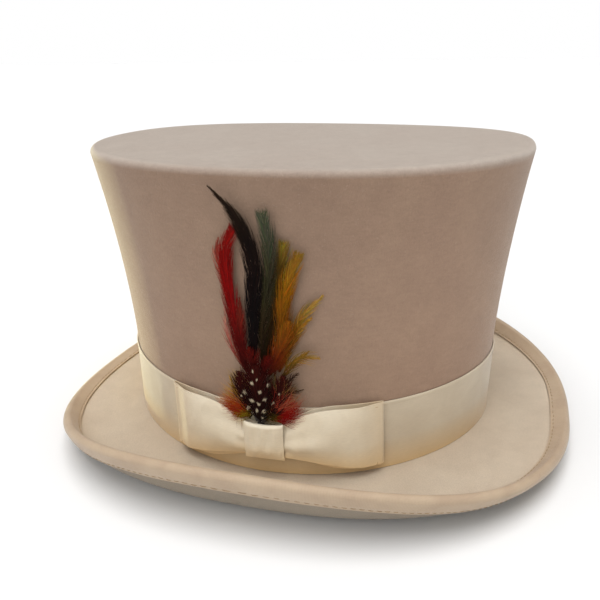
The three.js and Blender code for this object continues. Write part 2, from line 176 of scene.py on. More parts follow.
def ring_angles(count=AROUND):
    return np.arange(count) / count * 2 * np.pi


def wobble(a, b, seed):
    """A smooth uneven field near -1 to 1; a is an angle and b any length over about 30."""
    waves = np.random.default_rng(seed)
    total = 0
    for turns in (2, 3, 5, 7, 9, 12):
        phase, climb = waves.uniform(0, 6.28), waves.uniform(-1.4, 1.4)
        total = total + waves.uniform(0.5, 1) * np.sin(turns * a + climb * b + phase) / turns**0.5
    return total / 2.2


# ------------------------------------------------------------------- meshes


def quads(rows, cols, wrap_rows=False, wrap_cols=False):
    i = np.arange(rows if wrap_rows else rows - 1)[:, None]
    j = np.arange(cols if wrap_cols else cols - 1)[None, :]
    after_i, after_j = (i + 1) % rows, (j + 1) % cols
    corners = [i * cols + j, i * cols + after_j, after_i * cols + after_j, after_i * cols + j]
    return np.stack(corners, -1).reshape(-1, 4)


def add_piece(
    name, points, faces, look, slot, nodes=(), body=HAT, uv=None, period=None, dye=None, crease=42,
):
    mesh = bpy.data.meshes.new(name)
    mesh.from_pydata((np.asarray(points) * MM).tolist(), [], faces)
    work = bmesh.new()
    work.from_mesh(mesh)
    bmesh.ops.recalc_face_normals(work, faces=work.faces)
    work.to_mesh(mesh)
    work.free()
    mesh.shade_smooth()
    mesh.set_sharp_from_angle(angle=math.radians(crease))
    if uv is not None:
        loops = np.empty(len(mesh.loops), int)
        mesh.loops.foreach_get("vertex_index", loops)
        at = np.asarray(uv)[loops]
        if period:  # a face across the join carries on past the last value
            u = at.reshape(-1, 4, 2)[:, :, 0]
            crosses = (u.max(1) - u.min(1) > period / 2)[:, None] & (u < period / 2)
            u[crosses] += period
        mesh.uv_layers.new(name="cloth").data.foreach_set("uv", at.ravel())
    if dye is not None:
        rgba = np.concatenate([dye, np.ones((len(dye), 1))], 1)
        colours = mesh.color_attributes.new("dye", "FLOAT_COLOR", "POINT")
        colours.data.foreach_set("color", rgba.ravel())
    piece = bpy.data.objects.new(name, mesh)
    bpy.context.scene.collection.objects.link(piece)
    mesh.materials.append(look)
    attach(piece, body)
    if nodes:
        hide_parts(*nodes)
    return piece


def unit(v):
    return v / np.maximum(np.linalg.norm(v, axis=-1, keepdims=True), 1e-9)


def shell(grid, thickness, wrap=False):
    """Points, faces and cloth coordinates of a sheet whose middle surface is the grid."""
    if wrap:
        along = np.roll(grid, -1, 0) - np.roll(grid, 1, 0)
    else:
        along = np.gradient(grid, axis=0)
    normal = unit(np.cross(along, np.gradient(grid, axis=1)))
    half = normal * np.broadcast_to(thickness, grid.shape[:2])[..., None] / 2
    rows, cols = grid.shape[:2]
    n = rows * cols
    points = np.concatenate([(grid + half).reshape(-1, 3), (grid - half).reshape(-1, 3)])
    face = quads(rows, cols, wrap)
    i = np.arange(rows if wrap else rows - 1)
    rims = []
    for col in (0, cols - 1):
        a, b = i * cols + col, ((i + 1) % rows) * cols + col
        rims.append(np.stack([a, b, b + n, a + n], -1))
    if not wrap:
        j = np.arange(cols - 1)
        for row in (0, rows - 1):
            a = row * cols + j
            rims.append(np.stack([a, a + 1, a + 1 + n, a + n], -1))
    faces = np.concatenate([face, face[:, ::-1] + n, *rims])
    lengthwise = np.linalg.norm(np.diff(grid, axis=0), axis=-1).mean(1)
    crosswise = np.linalg.norm(np.diff(grid, axis=1), axis=-1).mean(0)
    u = np.concatenate([[0], np.cumsum(lengthwise)]) * MM
    v = np.concatenate([[0], np.cumsum(crosswise)]) * MM
    uv = np.stack(np.meshgrid(u, v, indexing="ij"), -1).reshape(-1, 2)
    period = (u[-1] + np.linalg.norm(grid[0] - grid[-1], axis=-1).mean() * MM) if wrap else None
    return points, faces.tolist(), np.concatenate([uv, uv]), period


def sheet_piece(name, grid, thickness, look, slot, nodes=(), wrap=False):
    points, faces, uv, period = shell(grid, thickness, wrap)
    return add_piece(name, points, faces, look, slot, nodes, uv=uv, period=period)


def strand_faces(count, stations, sides):
    """The sides and both end caps of strands whose points follow one another."""
    size = stations * sides
    faces = np.arange(count)[:, None, None] * size + quads(stations, sides, wrap_cols=True)
    faces = faces.reshape(-1, 4).tolist()
    for s in range(count):
        faces.append(list(range(s * size, s * size + sides)))
        faces.append(list(range((s + 1) * size - sides, (s + 1) * size)))
    return faces


def tubes(paths, radii, sides, up):
    """Round strands: paths are (strand, station, xyz), radii (strand, station), and up is a
    direction that no strand runs along."""
    tangent = unit(np.gradient(paths, axis=1))
    across = unit(np.cross(tangent, np.broadcast_to(up, paths.shape)))
    over = np.cross(across, tangent)
    turn = np.arange(sides) / sides * 2 * np.pi
    spoke = across[:, :, None] * np.cos(turn)[:, None] + over[:, :, None] * np.sin(turn)[:, None]
    points = (paths[:, :, None] + spoke * radii[:, :, None, None]).reshape(-1, 3)
    return points, strand_faces(*paths.shape[:2], sides)


# ---------------------------------------------------------------- materials


def linear(*rgb):
    return tuple(
        (c / 255 / 12.92 if c <= 10 else ((c / 255 + 0.055) / 1.055) ** 2.4) for c in rgb
    ) + (1,)


class Look:
    """A material being put together from nodes."""

    def __init__(self, name, **values):
        self.material = bpy.data.materials.new(name)
        self.material.use_nodes = True
        self.tree = self.material.node_tree
        self.shader = self.tree.nodes["Principled BSDF"]
        for key, value in values.items():
            self.shader.inputs[key.replace("_", " ")].default_value = value
        self.bump = None

    def node(self, kind, values=None, **settings):
        made = self.tree.nodes.new(kind)
        for key, value in settings.items():
            setattr(made, key, value)
        for key, value in (values or {}).items():
            if isinstance(value, bpy.types.NodeSocket):
                self.tree.links.new(value, made.inputs[key])
            else:
                made.inputs[key].default_value = value
        return made

    def place(self):
        return self.node("ShaderNodeTexCoord").outputs["Object"]

    def cloth(self):
        """The cloth's own coordinates, in metres: along it and across it."""
        coords = self.node("ShaderNodeUVMap", uv_map="cloth").outputs[0]
        split = self.node("ShaderNodeSeparateXYZ", {0: coords})
        return split.outputs[0], split.outputs[1]

    def stretched(self, at, x, y, z):
        made = self.node("ShaderNodeVectorMath", {0: at, 1: (x, y, z)}, operation="MULTIPLY")
        return made.outputs[0]

    def noise(self, at, scale, detail=3.0, distortion=0.0):
        values = {"Vector": at, "Scale": scale, "Detail": detail, "Distortion": distortion}
        return self.node("ShaderNodeTexNoise", values).outputs[0]

    def math(self, operation, a, b=0.0):
        return self.node("ShaderNodeMath", {0: a, 1: b}, operation=operation).outputs[0]

    def spread(self, value, low, high, to_low=0.0, to_high=1.0):
        keys = {
            "Value": value, "From Min": low, "From Max": high, "To Min": to_low, "To Max": to_high,
        }
        return self.node("ShaderNodeMapRange", keys).outputs[0]

    def blend(self, share, a, b, kind="MIX"):
        made = self.node("ShaderNodeMix", {0: share, 6: a, 7: b}, data_type="RGBA", blend_type=kind)
        return made.outputs[2]

    def dim(self, colour, value):
        """colour made lighter or darker by value, which is near 1."""
        grey = self.node("ShaderNodeCombineColor", {0: value, 1: value, 2: value}).outputs[0]
        return self.blend(1.0, colour, grey, "MULTIPLY")

    def ribs(self, along, pitch):
        wave = self.math("SINE", self.math("MULTIPLY", along, 2 * math.pi / pitch))
        return self.spread(wave, -1.0, 1.0)

    def raise_by(self, height, distance, strength=1.0):
        values = {"Height": height, "Distance": distance, "Strength": strength}
        if self.bump:
            values["Normal"] = self.bump
        self.bump = self.node("ShaderNodeBump", values).outputs[0]

    def done(self, colour, roughness=None):
        self.tree.links.new(colour, self.shader.inputs["Base Color"])
        if roughness is not None:
            self.tree.links.new(roughness, self.shader.inputs["Roughness"])
        if self.bump:
            self.tree.links.new(self.bump, self.shader.inputs["Normal"])
        return self.material


# Heights in metres between which the crown's side darkens as painted shade, and between which its
# tone becomes the tip's, and how far back it starts and ends growing lighter as painted light.
WALL_SHADE_FROM, WALL_SHADE_TO = 0.04, 0.15
WALL_SHADE_TONES = (1.14, 0.9)
BACK_PAINTED_LIGHT_FROM, BACK_PAINTED_LIGHT_TO, BACK_PAINTED_LIGHT = 0.03, 0.08, 1.14
TIP_TONE_FROM, TIP_TONE_TO = 0.1535, 0.1575
SELVAGE, SELVAGE_BLEND = 0.0011, 0.0005  # metres in from a ribbon's edge


def felt_look(name, main, shade, fleck_colour, sheen, mottle, shaded_wall=None, underside_shade=1.0):
    """Pressed fur felt: faintly cloudy dye, a fine matted nap and a few lighter hairs.
    mottle is how strongly the dye varies over a few millimetres,
    wall is a pair of darker, redder tones on the crown's side, which are painted shade, and
    underside dims the faces that look down, which is painted shade."""
    look = Look(name, Sheen_Weight=sheen, Sheen_Roughness=0.4, Specular_IOR_Level=0.15)
    look.shader.inputs["Sheen Tint"].default_value = (1.0, 0.93, 0.86, 1)
    at = look.place()
    clouds = look.spread(look.noise(at, 34.0, 4.0, 0.6), 0.36, 0.64)
    patches = look.spread(look.noise(at, 120.0, 3.0), 0.3, 0.7)
    colour = look.blend(clouds, main, shade)
    # Painted shade: the crown's side takes darker, redder tones than the tip.
    if shaded_wall:
        split = look.node("ShaderNodeSeparateXYZ", {0: at})
        height = split.outputs[2]
        side_shade_share = look.spread(height, TIP_TONE_FROM, TIP_TONE_TO, 1.0, 0.0)
        side = look.blend(clouds, shaded_wall[0], shaded_wall[1])
        # Painted light low down and painted shade higher up: the side's tone goes from 1.14 to 0.9.
        side = look.dim(side, look.spread(height, WALL_SHADE_FROM, WALL_SHADE_TO, *WALL_SHADE_TONES))
        # Painted light: the side grows lighter toward the back.
        back = look.spread(split.outputs[1], BACK_PAINTED_LIGHT_FROM, BACK_PAINTED_LIGHT_TO, 1.0, BACK_PAINTED_LIGHT)
        side = look.dim(side, back)
        colour = look.blend(side_shade_share, colour, side)
    # Painted shade: faces that look down are dimmed.
    if underside_shade < 1:
        normal = look.node("ShaderNodeNewGeometry").outputs["True Normal"]
        facing = look.node("ShaderNodeSeparateXYZ", {0: normal})
        colour = look.dim(colour, look.spread(facing.outputs[2], -0.25, 0.0, underside_shade, 1.0))
    colour = look.dim(colour, look.spread(patches, 0.0, 1.0, 0.975, 1.025))
    streaks = look.noise(look.stretched(at, 1.0, 1.0, 2.6), 240.0, 3.0, 0.8)
    colour = look.dim(colour, look.spread(streaks, 0.3, 0.7, 1 - mottle, 1 + mottle))
    nap = look.noise(look.stretched(at, 1.0, 1.0, 0.45), 1500.0, 2.0, 1.2)
    grain = look.noise(at, 5200.0, 1.0)
    colour = look.dim(colour, look.spread(nap, 0.25, 0.75, 0.93, 1.07))
    hairs = look.noise(look.stretched(at, 1.0, 0.16, 0.16), 2300.0, 2.0, 2.5)
    hairs = look.spread(hairs, 0.66, 0.74)
    colour = look.blend(look.math("MULTIPLY", hairs, 0.16), colour, fleck_colour)
    look.raise_by(patches, 0.0004, 0.2)
    look.raise_by(nap, 0.00035, 0.6)
    look.raise_by(grain, 0.0001, 0.5)
    return look.done(colour, look.spread(nap, 0.3, 0.7, 0.86, 0.99))


def ribbon_look(name, main, shade, pitch, roughness, sheen, width, foot_shade=None, fold=None):
    """Woven ribbon: fine ribs across it, a close selvage at both edges and soft handling marks.
    foot is a (colour, share, height) tone of painted shade along its lower edge, and
    fold a (colour, share, place, reach) tone of painted shade on both sides of a place along it."""
    look = Look(name, Sheen_Weight=sheen, Sheen_Roughness=0.4, Specular_IOR_Level=0.45)
    along, across = look.cloth()
    at = look.place()
    ribs = look.ribs(along, pitch)
    threads = look.ribs(across, pitch * 0.6)
    clouds = look.spread(look.noise(at, 70.0, 3.0, 0.4), 0.35, 0.65)
    slubs = look.noise(look.stretched(at, 1.0, 1.0, 9.0), 420.0, 2.0)
    colour = look.blend(clouds, main, shade)
    # Painted shade: a tan tone along the ribbon's lower edge.
    if foot_shade:
        colour = look.blend(look.spread(across, 0.0, foot_shade[2], foot_shade[1], 0.0), colour, foot_shade[0])
    # Painted shade: a tan tone on both sides of a place along the ribbon.
    if fold:
        tone, most, place, reach = fold
        away = look.math("ABSOLUTE", look.math("SUBTRACT", along, place))
        colour = look.blend(look.spread(away, 0.0, reach, most, 0.0), colour, tone)
    colour = look.dim(colour, look.spread(slubs, 0.3, 0.7, 0.965, 1.035))
    colour = look.dim(colour, look.spread(ribs, 0.0, 1.0, 0.94, 1.02))
    middle = look.math("ABSOLUTE", look.math("SUBTRACT", across, width / 2))
    inner = width / 2 - SELVAGE
    selvage = look.spread(middle, inner, inner + SELVAGE_BLEND)
    colour = look.dim(colour, look.spread(selvage, 0.0, 1.0, 1.0, 1.06))
    weave = look.math("MULTIPLY", ribs, look.spread(selvage, 0.0, 1.0, 1.0, 0.3))
    weave = look.math("ADD", weave, look.math("MULTIPLY", threads, 0.35))
    look.raise_by(clouds, 0.0006, 0.25)
    look.raise_by(weave, 0.00009, 0.6)
    return look.done(colour, look.spread(slubs, 0.3, 0.7, roughness - 0.05, roughness + 0.07))


def leather_look():
    look = Look(
        "sweatband_leather_look", Coat_Weight=0.12, Coat_Roughness=0.35, Specular_IOR_Level=0.4,
    )
    at = look.place()
    cells = look.node(
        "ShaderNodeTexVoronoi", {"Vector": at, "Scale": 900.0}, feature="DISTANCE_TO_EDGE",
    )
    creases = look.spread(cells.outputs[0], 0.0, 0.12)
    worn = look.spread(look.noise(at, 38.0, 4.0, 0.5), 0.35, 0.7)
    colour = look.blend(worn, linear(186, 138, 96), linear(150, 103, 66))
    colour = look.dim(colour, look.spread(creases, 0.0, 1.0, 0.82, 1.0))
    look.raise_by(creases, 0.00012, 0.6)
    look.raise_by(look.noise(at, 160.0, 3.0), 0.0006, 0.2)
    return look.done(colour, look.spread(worn, 0.0, 1.0, 0.42, 0.6))


def satin_look(name, main, shade):
    look = Look(
        name, Sheen_Weight=0.3, Sheen_Roughness=0.3, Specular_IOR_Level=0.6, Anisotropic=0.5,
    )
    along, across = look.cloth()
    at = look.place()
    threads = look.math("ADD", look.ribs(along, 0.00032), look.ribs(across, 0.0005))
    clouds = look.spread(look.noise(at, 55.0, 3.0, 0.4), 0.35, 0.65)
    colour = look.blend(clouds, main, shade)
    colour = look.dim(colour, look.spread(threads, 0.0, 2.0, 0.96, 1.02))
    look.raise_by(threads, 0.00005, 0.4)
    return look.done(colour, look.spread(clouds, 0.0, 1.0, 0.3, 0.42))


def thread_look(name, main, pitch_scale=1800.0):
    """Twisted thread or cord."""
    look = Look(name, Sheen_Weight=0.2, Specular_IOR_Level=0.35)
    at = look.place()
    twist = look.noise(look.stretched(at, 1.0, 1.0, 2.2), pitch_scale, 2.0, 1.5)
    colour = look.dim(main, look.spread(twist, 0.3, 0.7, 0.8, 1.1))
    look.raise_by(twist, 0.0001, 0.7)
    return look.done(colour, look.spread(twist, 0.3, 0.7, 0.5, 0.75))


def feather_look():
    """Each barb carries its own dye; the fine barbules show as streaks."""
    look = Look("feather_look", Specular_IOR_Level=0.05)
    dye = look.node("ShaderNodeAttribute", attribute_name="dye").outputs["Color"]
    at = look.place()
    streaks = look.noise(look.stretched(at, 1.0, 1.0, 0.35), 2600.0, 2.0)
    colour = look.dim(dye, look.spread(streaks, 0.3, 0.7, 0.82, 1.16))
    look.raise_by(streaks, 0.00008, 0.4)
    return look.done(colour, look.spread(streaks, 0.3, 0.7, 0.5, 0.7))


def metal_look():
    look = Look("wire_look", Metallic=1.0)
    at = look.place()
    drawn = look.noise(look.stretched(at, 1.0, 1.0, 8.0), 500.0, 2.0)
    colour = look.blend(look.spread(drawn, 0.3, 0.7), linear(150, 152, 156), linear(116, 116, 120))
    look.raise_by(drawn, 0.00003, 0.4)
    return look.done(colour, look.spread(drawn, 0.3, 0.7, 0.25, 0.5))


# The crown's side tones are painted shade, darker and redder than the tip's.
crown_felt = felt_look(
    "crown_felt_look", linear(172, 160, 149), linear(169, 156, 145), linear(196, 184, 172),
    sheen=0.35, mottle=0.045, shaded_wall=(linear(150, 125, 106), linear(146, 121, 103)),
)
# The brim's faces that look down are dimmed to 0.48 as painted shade.
brim_felt = felt_look(
    "brim_felt_look", linear(198, 183, 163), linear(192, 176, 156), linear(216, 202, 182),
    sheen=0.12, mottle=0.012, underside_shade=0.48,
)
BAND_WIDTH = 0.0366  # of the ribbon as cut, in metres, for band and bow alike
# The band's tan tone along its lower edge is painted shade.
band_ribbon = ribbon_look(
    "band_ribbon_look", linear(212, 198, 174), linear(205, 190, 166), 0.00055, 0.5, 0.3, BAND_WIDTH,
    foot_shade=(linear(212, 176, 118), 0.75, 0.016),
)
bow_ribbon = ribbon_look(
    "bow_ribbon_look", linear(241, 229, 205), linear(234, 220, 194), 0.0005, 0.42, 0.3, BAND_WIDTH,
    # The bow's tan tone along its lower edge is painted shade.
    foot_shade=(linear(230, 196, 138), 0.7, 0.01),
    # The bow's tan tone near the fold at each loop's end is painted shade.
    fold=(linear(206, 176, 132), 0.6, 0.0485, 0.024),
)
edge_ribbon = ribbon_look(
    "edge_ribbon_look", linear(184, 162, 136), linear(176, 153, 128), 0.0006, 0.6, 0.2, 0.024,
)
pale_thread = thread_look("pale_thread_look", linear(160, 136, 104))
dark_thread = thread_look("dark_thread_look", linear(52, 42, 36))
tan_thread = thread_look("tan_thread_look", linear(196, 164, 120))
lining_satin = satin_look("lining_satin_look", linear(232, 224, 210), linear(220, 210, 194))
leather = leather_look()
reed_plastic = thread_look("reed_look", linear(226, 219, 206), 300.0)
wire_metal = metal_look()
feather_dye = feather_look()

# --------------------------------------------------------------- felt bodies


def rings_piece(name, rings, look, slot, nodes):
    """Skins rings of equal length and closes the first and last over a middle point."""
    rows, cols = rings.shape[:2]
    faces = quads(rows, cols, wrap_cols=True).tolist()
    points = [rings.reshape(-1, 3)]
    for k, row in enumerate((0, rows - 1)):
        hub = rows * cols + k
        points.append(rings[row].mean(0, keepdims=True))
        faces += [[row * cols + j, row * cols + (j + 1) % cols, hub] for j in range(cols)]
    return add_piece(name, np.concatenate(points), faces, look, slot, nodes)


def crown_rings(inset, wall_rows, edge_rows, tip_rows):
    angles = ring_angles()
    radius = TIP_EDGE_RADIUS - inset
    low = root_z(angles) + FELT / 2 + GAP
    high = tip_edge_z(angles) - TIP_EDGE_RADIUS
    rings = []
    for share in np.linspace(0, 1, wall_rows):
        z = mix(low, high, share)
        uneven = 0.32 * wobble(angles, z / 30, 3) * smooth(z, 44, 70) * smooth(high - z, 0, 12)
        rings.append(wall_point(angles, z, -inset + uneven))
    for turn in np.linspace(0, np.pi / 2, edge_rows + 1)[1:]:
        ring = wall_point(angles, high, -(TIP_EDGE_RADIUS - radius * np.cos(turn)))
        ring[:, 2] += radius * np.sin(turn)
        rings.append(ring)
    outer = rings[-1]
    centre = np.array([0, crown_at(CROWN_TOP_Z)[2], 0])
    flat = CROWN_TOP_Z - inset + (-0.15 if inset else 0.15)
    for share in np.linspace(1, 0.02, tip_rows + 1)[1:]:
        ring = mix(centre, outer, share)
        sag = 0.22 * wobble(angles, share * 2.2, 5) * share * (1 - share) * 2.4
        ring[:, 2] = mix(flat, outer[:, 2], smooth(share, 0.6, 1)) + sag
        rings.append(ring)
    return rings


outside = crown_rings(0, 60, 9, 26)
inside = crown_rings(FELT, 24, 4, 14)
rings_piece("crown_felt_body", np.array(inside[::-1] + outside), crown_felt, "felt", ["felt_crown"])


def brim_body():
    angles = ring_angles()
    under_strip = share_from_edge(angles, np.full(AROUND, float(BINDING_WIDTH)))
    felt_end = share_from_edge(angles, np.full(AROUND, FELT_EDGE))
    shares = [under_strip * s for s in np.linspace(0.02, 1, 44)]
    shares += [mix(under_strip, felt_end, s) for s in np.linspace(0, 1, 8)[1:]]
    root = root_z(angles)
    outer, inner = -FELT - GAP, -FELT - GAP - COLLAR
    collar = [
        wall_point(angles, root - FELT / 2, inner + 1.6),
        wall_point(angles, root - FELT / 2 + 0.7, inner + 0.5),
        wall_point(angles, root + 0.5, inner),
        wall_point(angles, root + COLLAR_HEIGHT * 0.5, inner),
        wall_point(angles, root + COLLAR_HEIGHT - 0.3, inner),
        wall_point(angles, root + COLLAR_HEIGHT, inner + 0.3),
        wall_point(angles, root + COLLAR_HEIGHT, outer - 0.3),
        wall_point(angles, root + COLLAR_HEIGHT - 0.3, outer),
        wall_point(angles, root + FELT / 2, outer),
    ]
    top, under = [], []
    for share in shares:
        calm = smooth(share, 0.08, 0.25) * smooth(under_strip - share, 0, 0.08)
        uneven = 0.28 * wobble(angles, share * 3, 8) * calm
        top.append(brim_point(angles, share, FELT / 2 + uneven))
        under.append(brim_point(angles, share, -FELT / 2 + uneven))
    section = np.array(collar + top + under[::-1])
    rows = section.shape[0]
    faces = quads(rows, AROUND, wrap_rows=True, wrap_cols=True)
    points = section.reshape(-1, 3)
    return add_piece("brim_felt_body", points, faces.tolist(), brim_felt, "felt", ["felt_brim"])


brim_body()

# --------------------------------------------------------- binding and wire

EDGE_AROUND = 720
STITCHES = 240
STITCH_INSET = 1.5  # from the ribbon's edge
STITCH_LENGTH, STITCH_RADIUS = 2.4, 0.27
EDGE_RADIUS = 138  # the brim's mean radius, which turns a stitch's length into an angle


def edge_ribbon_grid():
    angles = ring_angles(EDGE_AROUND)
    nose_share = share_from_edge(angles, np.full(EDGE_AROUND, BINDING_OUTSIDE))
    point, along, up = brim_frame(angles, nose_share)
    stitch = np.cos(angles * STITCHES)
    columns = []

    def strip(side, steps):
        wave = 0.22 * wobble(angles * 3, side * 1.0, 12)
        for t in steps:
            distance = mix(BINDING_WIDTH + wave, BINDING_OUTSIDE, t)
            near_row = np.exp(-(((distance - BINDING_WIDTH + STITCH_INSET) / 1.1) ** 2))
            near_edge = np.exp(-(((distance - BINDING_WIDTH) / 0.8) ** 2))
            bulge = 0.16 * np.sin(np.pi * t) + 0.1 * wobble(angles * 7, t * 3 + side, 14)
            height = BINDING_MIDDLE - 0.32 * near_row * (0.55 + 0.45 * stitch) + bulge
            height = height - 0.1 * near_edge * (0.5 - 0.5 * stitch)
            share = share_from_edge(angles, distance)
            columns.append(brim_point(angles, share, side * height))

    steps = np.concatenate([np.linspace(0, 0.42, 10), np.linspace(0.5, 1, 5)])
    strip(1, steps)
    for turn in np.linspace(0, np.pi, 14)[1:-1]:
        radius = BINDING_MIDDLE + 0.06 * wobble(angles * 5, turn, 15)
        over = up * (radius * np.cos(turn))[:, None]
        out = along * (radius * np.sin(turn))[:, None]
        columns.append(point + over + out)
    strip(-1, steps[::-1])
    return np.array(columns).transpose(1, 0, 2)


edge_grid = edge_ribbon_grid()
binding = sheet_piece(
    "brim_edge_ribbon", edge_grid, 0.7, edge_ribbon, "binding_ribbon", ["brim_binding"], wrap=True,
)


def stitch_row(angles, length, lift, radius, side, distance):
    """Machine stitches that lie along the brim's edge on one face."""
    stations = np.linspace(-1, 1, 7)
    half_turn = length / 2 / EDGE_RADIUS
    slant = rng.normal(0, 0.1, len(angles))
    paths = []
    for t in stations:
        at = angles + half_turn * t
        share = share_from_edge(at, distance + slant * t * length / 2)
        height = lift - 0.34 * abs(t) ** 3
        paths.append(brim_point(at, share, side * height))
    paths = np.array(paths).transpose(1, 0, 2)
    radii = np.broadcast_to(radius * (1 - 0.35 * np.abs(stations) ** 4), paths.shape[:2])
    return tubes(paths, radii, 6, (0.1, 0.2, 1.0))


def joined(parts):
    points, faces, start = [], [], 0
    for p, f in parts:
        points.append(p)
        faces += [[i + start for i in face] for face in f]
        start += len(p)
    return np.concatenate(points), faces


stitch_angles = (np.arange(STITCHES) + 0.5) / STITCHES * 2 * np.pi
rows = []
for side in (1, -1):
    distance = BINDING_WIDTH - STITCH_INSET + rng.normal(0, 0.12, STITCHES)
    rows.append(stitch_row(
        stitch_angles, STITCH_LENGTH, BINDING_OUTSIDE, STITCH_RADIUS, side, distance,
    ))
add_piece("brim_edge_stitches", *joined(rows), pale_thread, "binding_ribbon")


def ring_tube(centres, radius, sides, name, look, slot, nodes):
    tangent = unit(np.roll(centres, -1, 0) - np.roll(centres, 1, 0))
    across = unit(np.cross(tangent, (0, 0, 1)))
    over = np.cross(across, tangent)
    turn = np.arange(sides) / sides * 2 * np.pi
    spoke = across[:, None] * np.cos(turn)[:, None] + over[:, None] * np.sin(turn)[:, None]
    ring = centres[:, None] + radius * spoke
    faces = quads(len(centres), sides, True, True).tolist()
    return add_piece(name, ring.reshape(-1, 3), faces, look, slot, nodes)


WIRE_RADIUS = 0.95
wire_angles = ring_angles()
wire_share = share_from_edge(wire_angles, np.full(AROUND, BINDING_OUTSIDE))
wire_line = brim_middle(wire_angles, wire_share)
ring_tube(wire_line, WIRE_RADIUS, 12, "brim_edge_wire", wire_metal, "wire", ["brim_wire"])

# ----------------------------------------------------------------- hat band


def wall_sheet(name, proud_at, low, high, levels, thickness, look, slot, nodes, around=AROUND):
    angles = ring_angles(around)
    grid = np.array([
        wall_point(angles, mix(low(angles), high(angles), s), proud_at(angles, s))
        for s in np.linspace(0, 1, levels)
    ]).transpose(1, 0, 2)
    return sheet_piece(name, grid, thickness, look, slot, nodes, wrap=True)


def band_proud(angles, s):
    away = 1 - np.exp(-((angles / 0.75) ** 2)) - np.exp(-(((angles - 2 * np.pi) / 0.75) ** 2))
    lip = 0.2 * smooth(s, 0.958, 0.972) - 0.2 * smooth(s, 0.985, 1)
    return 0.6 + lip + 0.16 * (1 + wobble(angles, s, 21)) * away * np.sin(np.pi * s)


band = wall_sheet(
    "band_ribbon", band_proud,
    lambda a: root_z(a) + BAND_FOOT - 0.55, lambda a: root_z(a) + BAND_HEIGHT,
    64, 0.5, band_ribbon, "ribbon", ["hat_band"],
)

# ---------------------------------------------------------------------- bow

RIBBON = 0.5  # thickness
LOOP_BACK = 2.55  # how proud of the crown a loop's back layer lies
KNOT_FRONT_Y, KNOT_REAR_Y = -11.4, 8.3
LOOP_FRONT_Y, LOOP_REAR_Y = -54.0, 53.4
NECK_LOW, NECK_HIGH = 13.6, 31.0
END_LOW, END_HIGH = 6.4, 40.4
RISE_SHARE, RISE_POWER = 0.55, 2.2  # how soon a loop's upper edge reaches its height
TUCK, TUCK_PINCH = 5.2, 1.4  # the length that goes in under the knot, and how far its edges draw in
FOLD = 0.85  # half the thickness of the turned end
TAIL_PROUD = 1.68


def bow_grid(y, height, proud):
    y, height, proud = np.broadcast_arrays(y, height, proud)
    return side_point(y, side_root_z(y) + height, proud)


def bow_loop(name, node, neck, end, seed):
    """One folded loop: a back layer from the knot, a fold at its end and a full front layer."""
    toward = np.sign(end - neck)
    length = abs(end - neck)
    tucked = TUCK / length
    v = np.linspace(-1, 1, 41)[None, :]
    flat_end = 1 - FOLD / length
    back_out = np.linspace(-tucked, flat_end, 34)
    front_out = np.linspace(flat_end, -tucked, 60)
    turn = np.linspace(0, np.pi, 9)[1:-1]
    out = np.concatenate([back_out, np.full(len(turn), flat_end), front_out])[:, None]
    on_back, on_front = np.zeros(len(back_out)), np.ones(len(front_out))
    front = np.concatenate([on_back, (1 - np.cos(turn)) / 2, on_front])[:, None]
    nose = np.concatenate([on_back, np.sin(turn), 0 * on_front])[:, None]
    rise = 1 - (1 - np.clip(out / RISE_SHARE, 0, 1)) ** RISE_POWER
    tuck = smooth(-out, 0, tucked)
    low = mix(NECK_LOW, END_LOW, smooth(out, 0, 1)) + TUCK_PINCH * tuck
    high = mix(NECK_HIGH, END_HIGH, rise) - TUCK_PINCH * tuck
    height = (low + high) / 2 + v * (high - low) / 2
    full = 2.4 + 3.4 * np.sin(np.pi * np.clip(out * 0.8 + 0.15, 0, 1))
    full = mix(full, 1.7, smooth(out, 0.78, 1))
    full = mix(full, 2.7, smooth(-out + 0.03, 0, tucked))
    gathers = np.exp(-np.maximum(out, 0) / 0.22) * smooth(out, -tucked, 0.06)
    crown_of_loop = 1 - 0.32 * np.abs(v) ** 2.5 * smooth(1 - out, 0, 0.5)
    ridge = 1.5 * np.exp(-(((v + 0.45 - 0.5 * out) / 0.36) ** 2))
    ridge = ridge * smooth(out, 0.02, 0.14) * smooth(1 - out, 0.25, 0.85)
    valley = -2.2 * np.exp(-(((v - 0.62 + 0.25 * out) / 0.34) ** 2)) * gathers
    pleat = 0.4 * np.sin(8.5 * v + seed) * gathers
    soft = 0.35 * wobble(out * 2.4 + v * 0.5 + seed, v * 0.8, 30 + seed)
    soft = soft * smooth(out, 0.1, 0.4) * smooth(1 - out, 0, 0.3)
    face = LOOP_BACK + full * crown_of_loop + ridge + valley + pleat + soft
    rear = LOOP_BACK + 0.05 * np.sin(5 * v + 9 * out)
    y = mix(neck, end, out) + toward * FOLD * nose
    grid = bow_grid(y, height, mix(rear, np.maximum(face, rear + 0.75), front))
    return sheet_piece(name, grid, RIBBON, bow_ribbon, "ribbon", [node])


left_loop = bow_loop("bow_loop_front_ribbon", "bow_left_loop", KNOT_FRONT_Y, LOOP_FRONT_Y, 1)
right_loop = bow_loop("bow_loop_rear_ribbon", "bow_right_loop", KNOT_REAR_Y, LOOP_REAR_Y, 4)


def bow_tail():
    """The strip behind the loops, narrower at the knot."""
    y = np.linspace(52, -52, 110)[:, None]
    v = np.linspace(-1, 1, 25)[None, :]
    out = smooth(np.abs(y), 8, 40)
    low, high = mix(11, 4.2, out), mix(28, 38, out)
    height = (low + high) / 2 + v * (high - low) / 2
    lift = 0.08 * np.sin(0.35 * y + 2 * v)
    grid = bow_grid(y, height, TAIL_PROUD + lift)
    return sheet_piece("bow_tail_ribbon", grid, 0.45, bow_ribbon, "ribbon", ["bow_backing"])


tail = bow_tail()


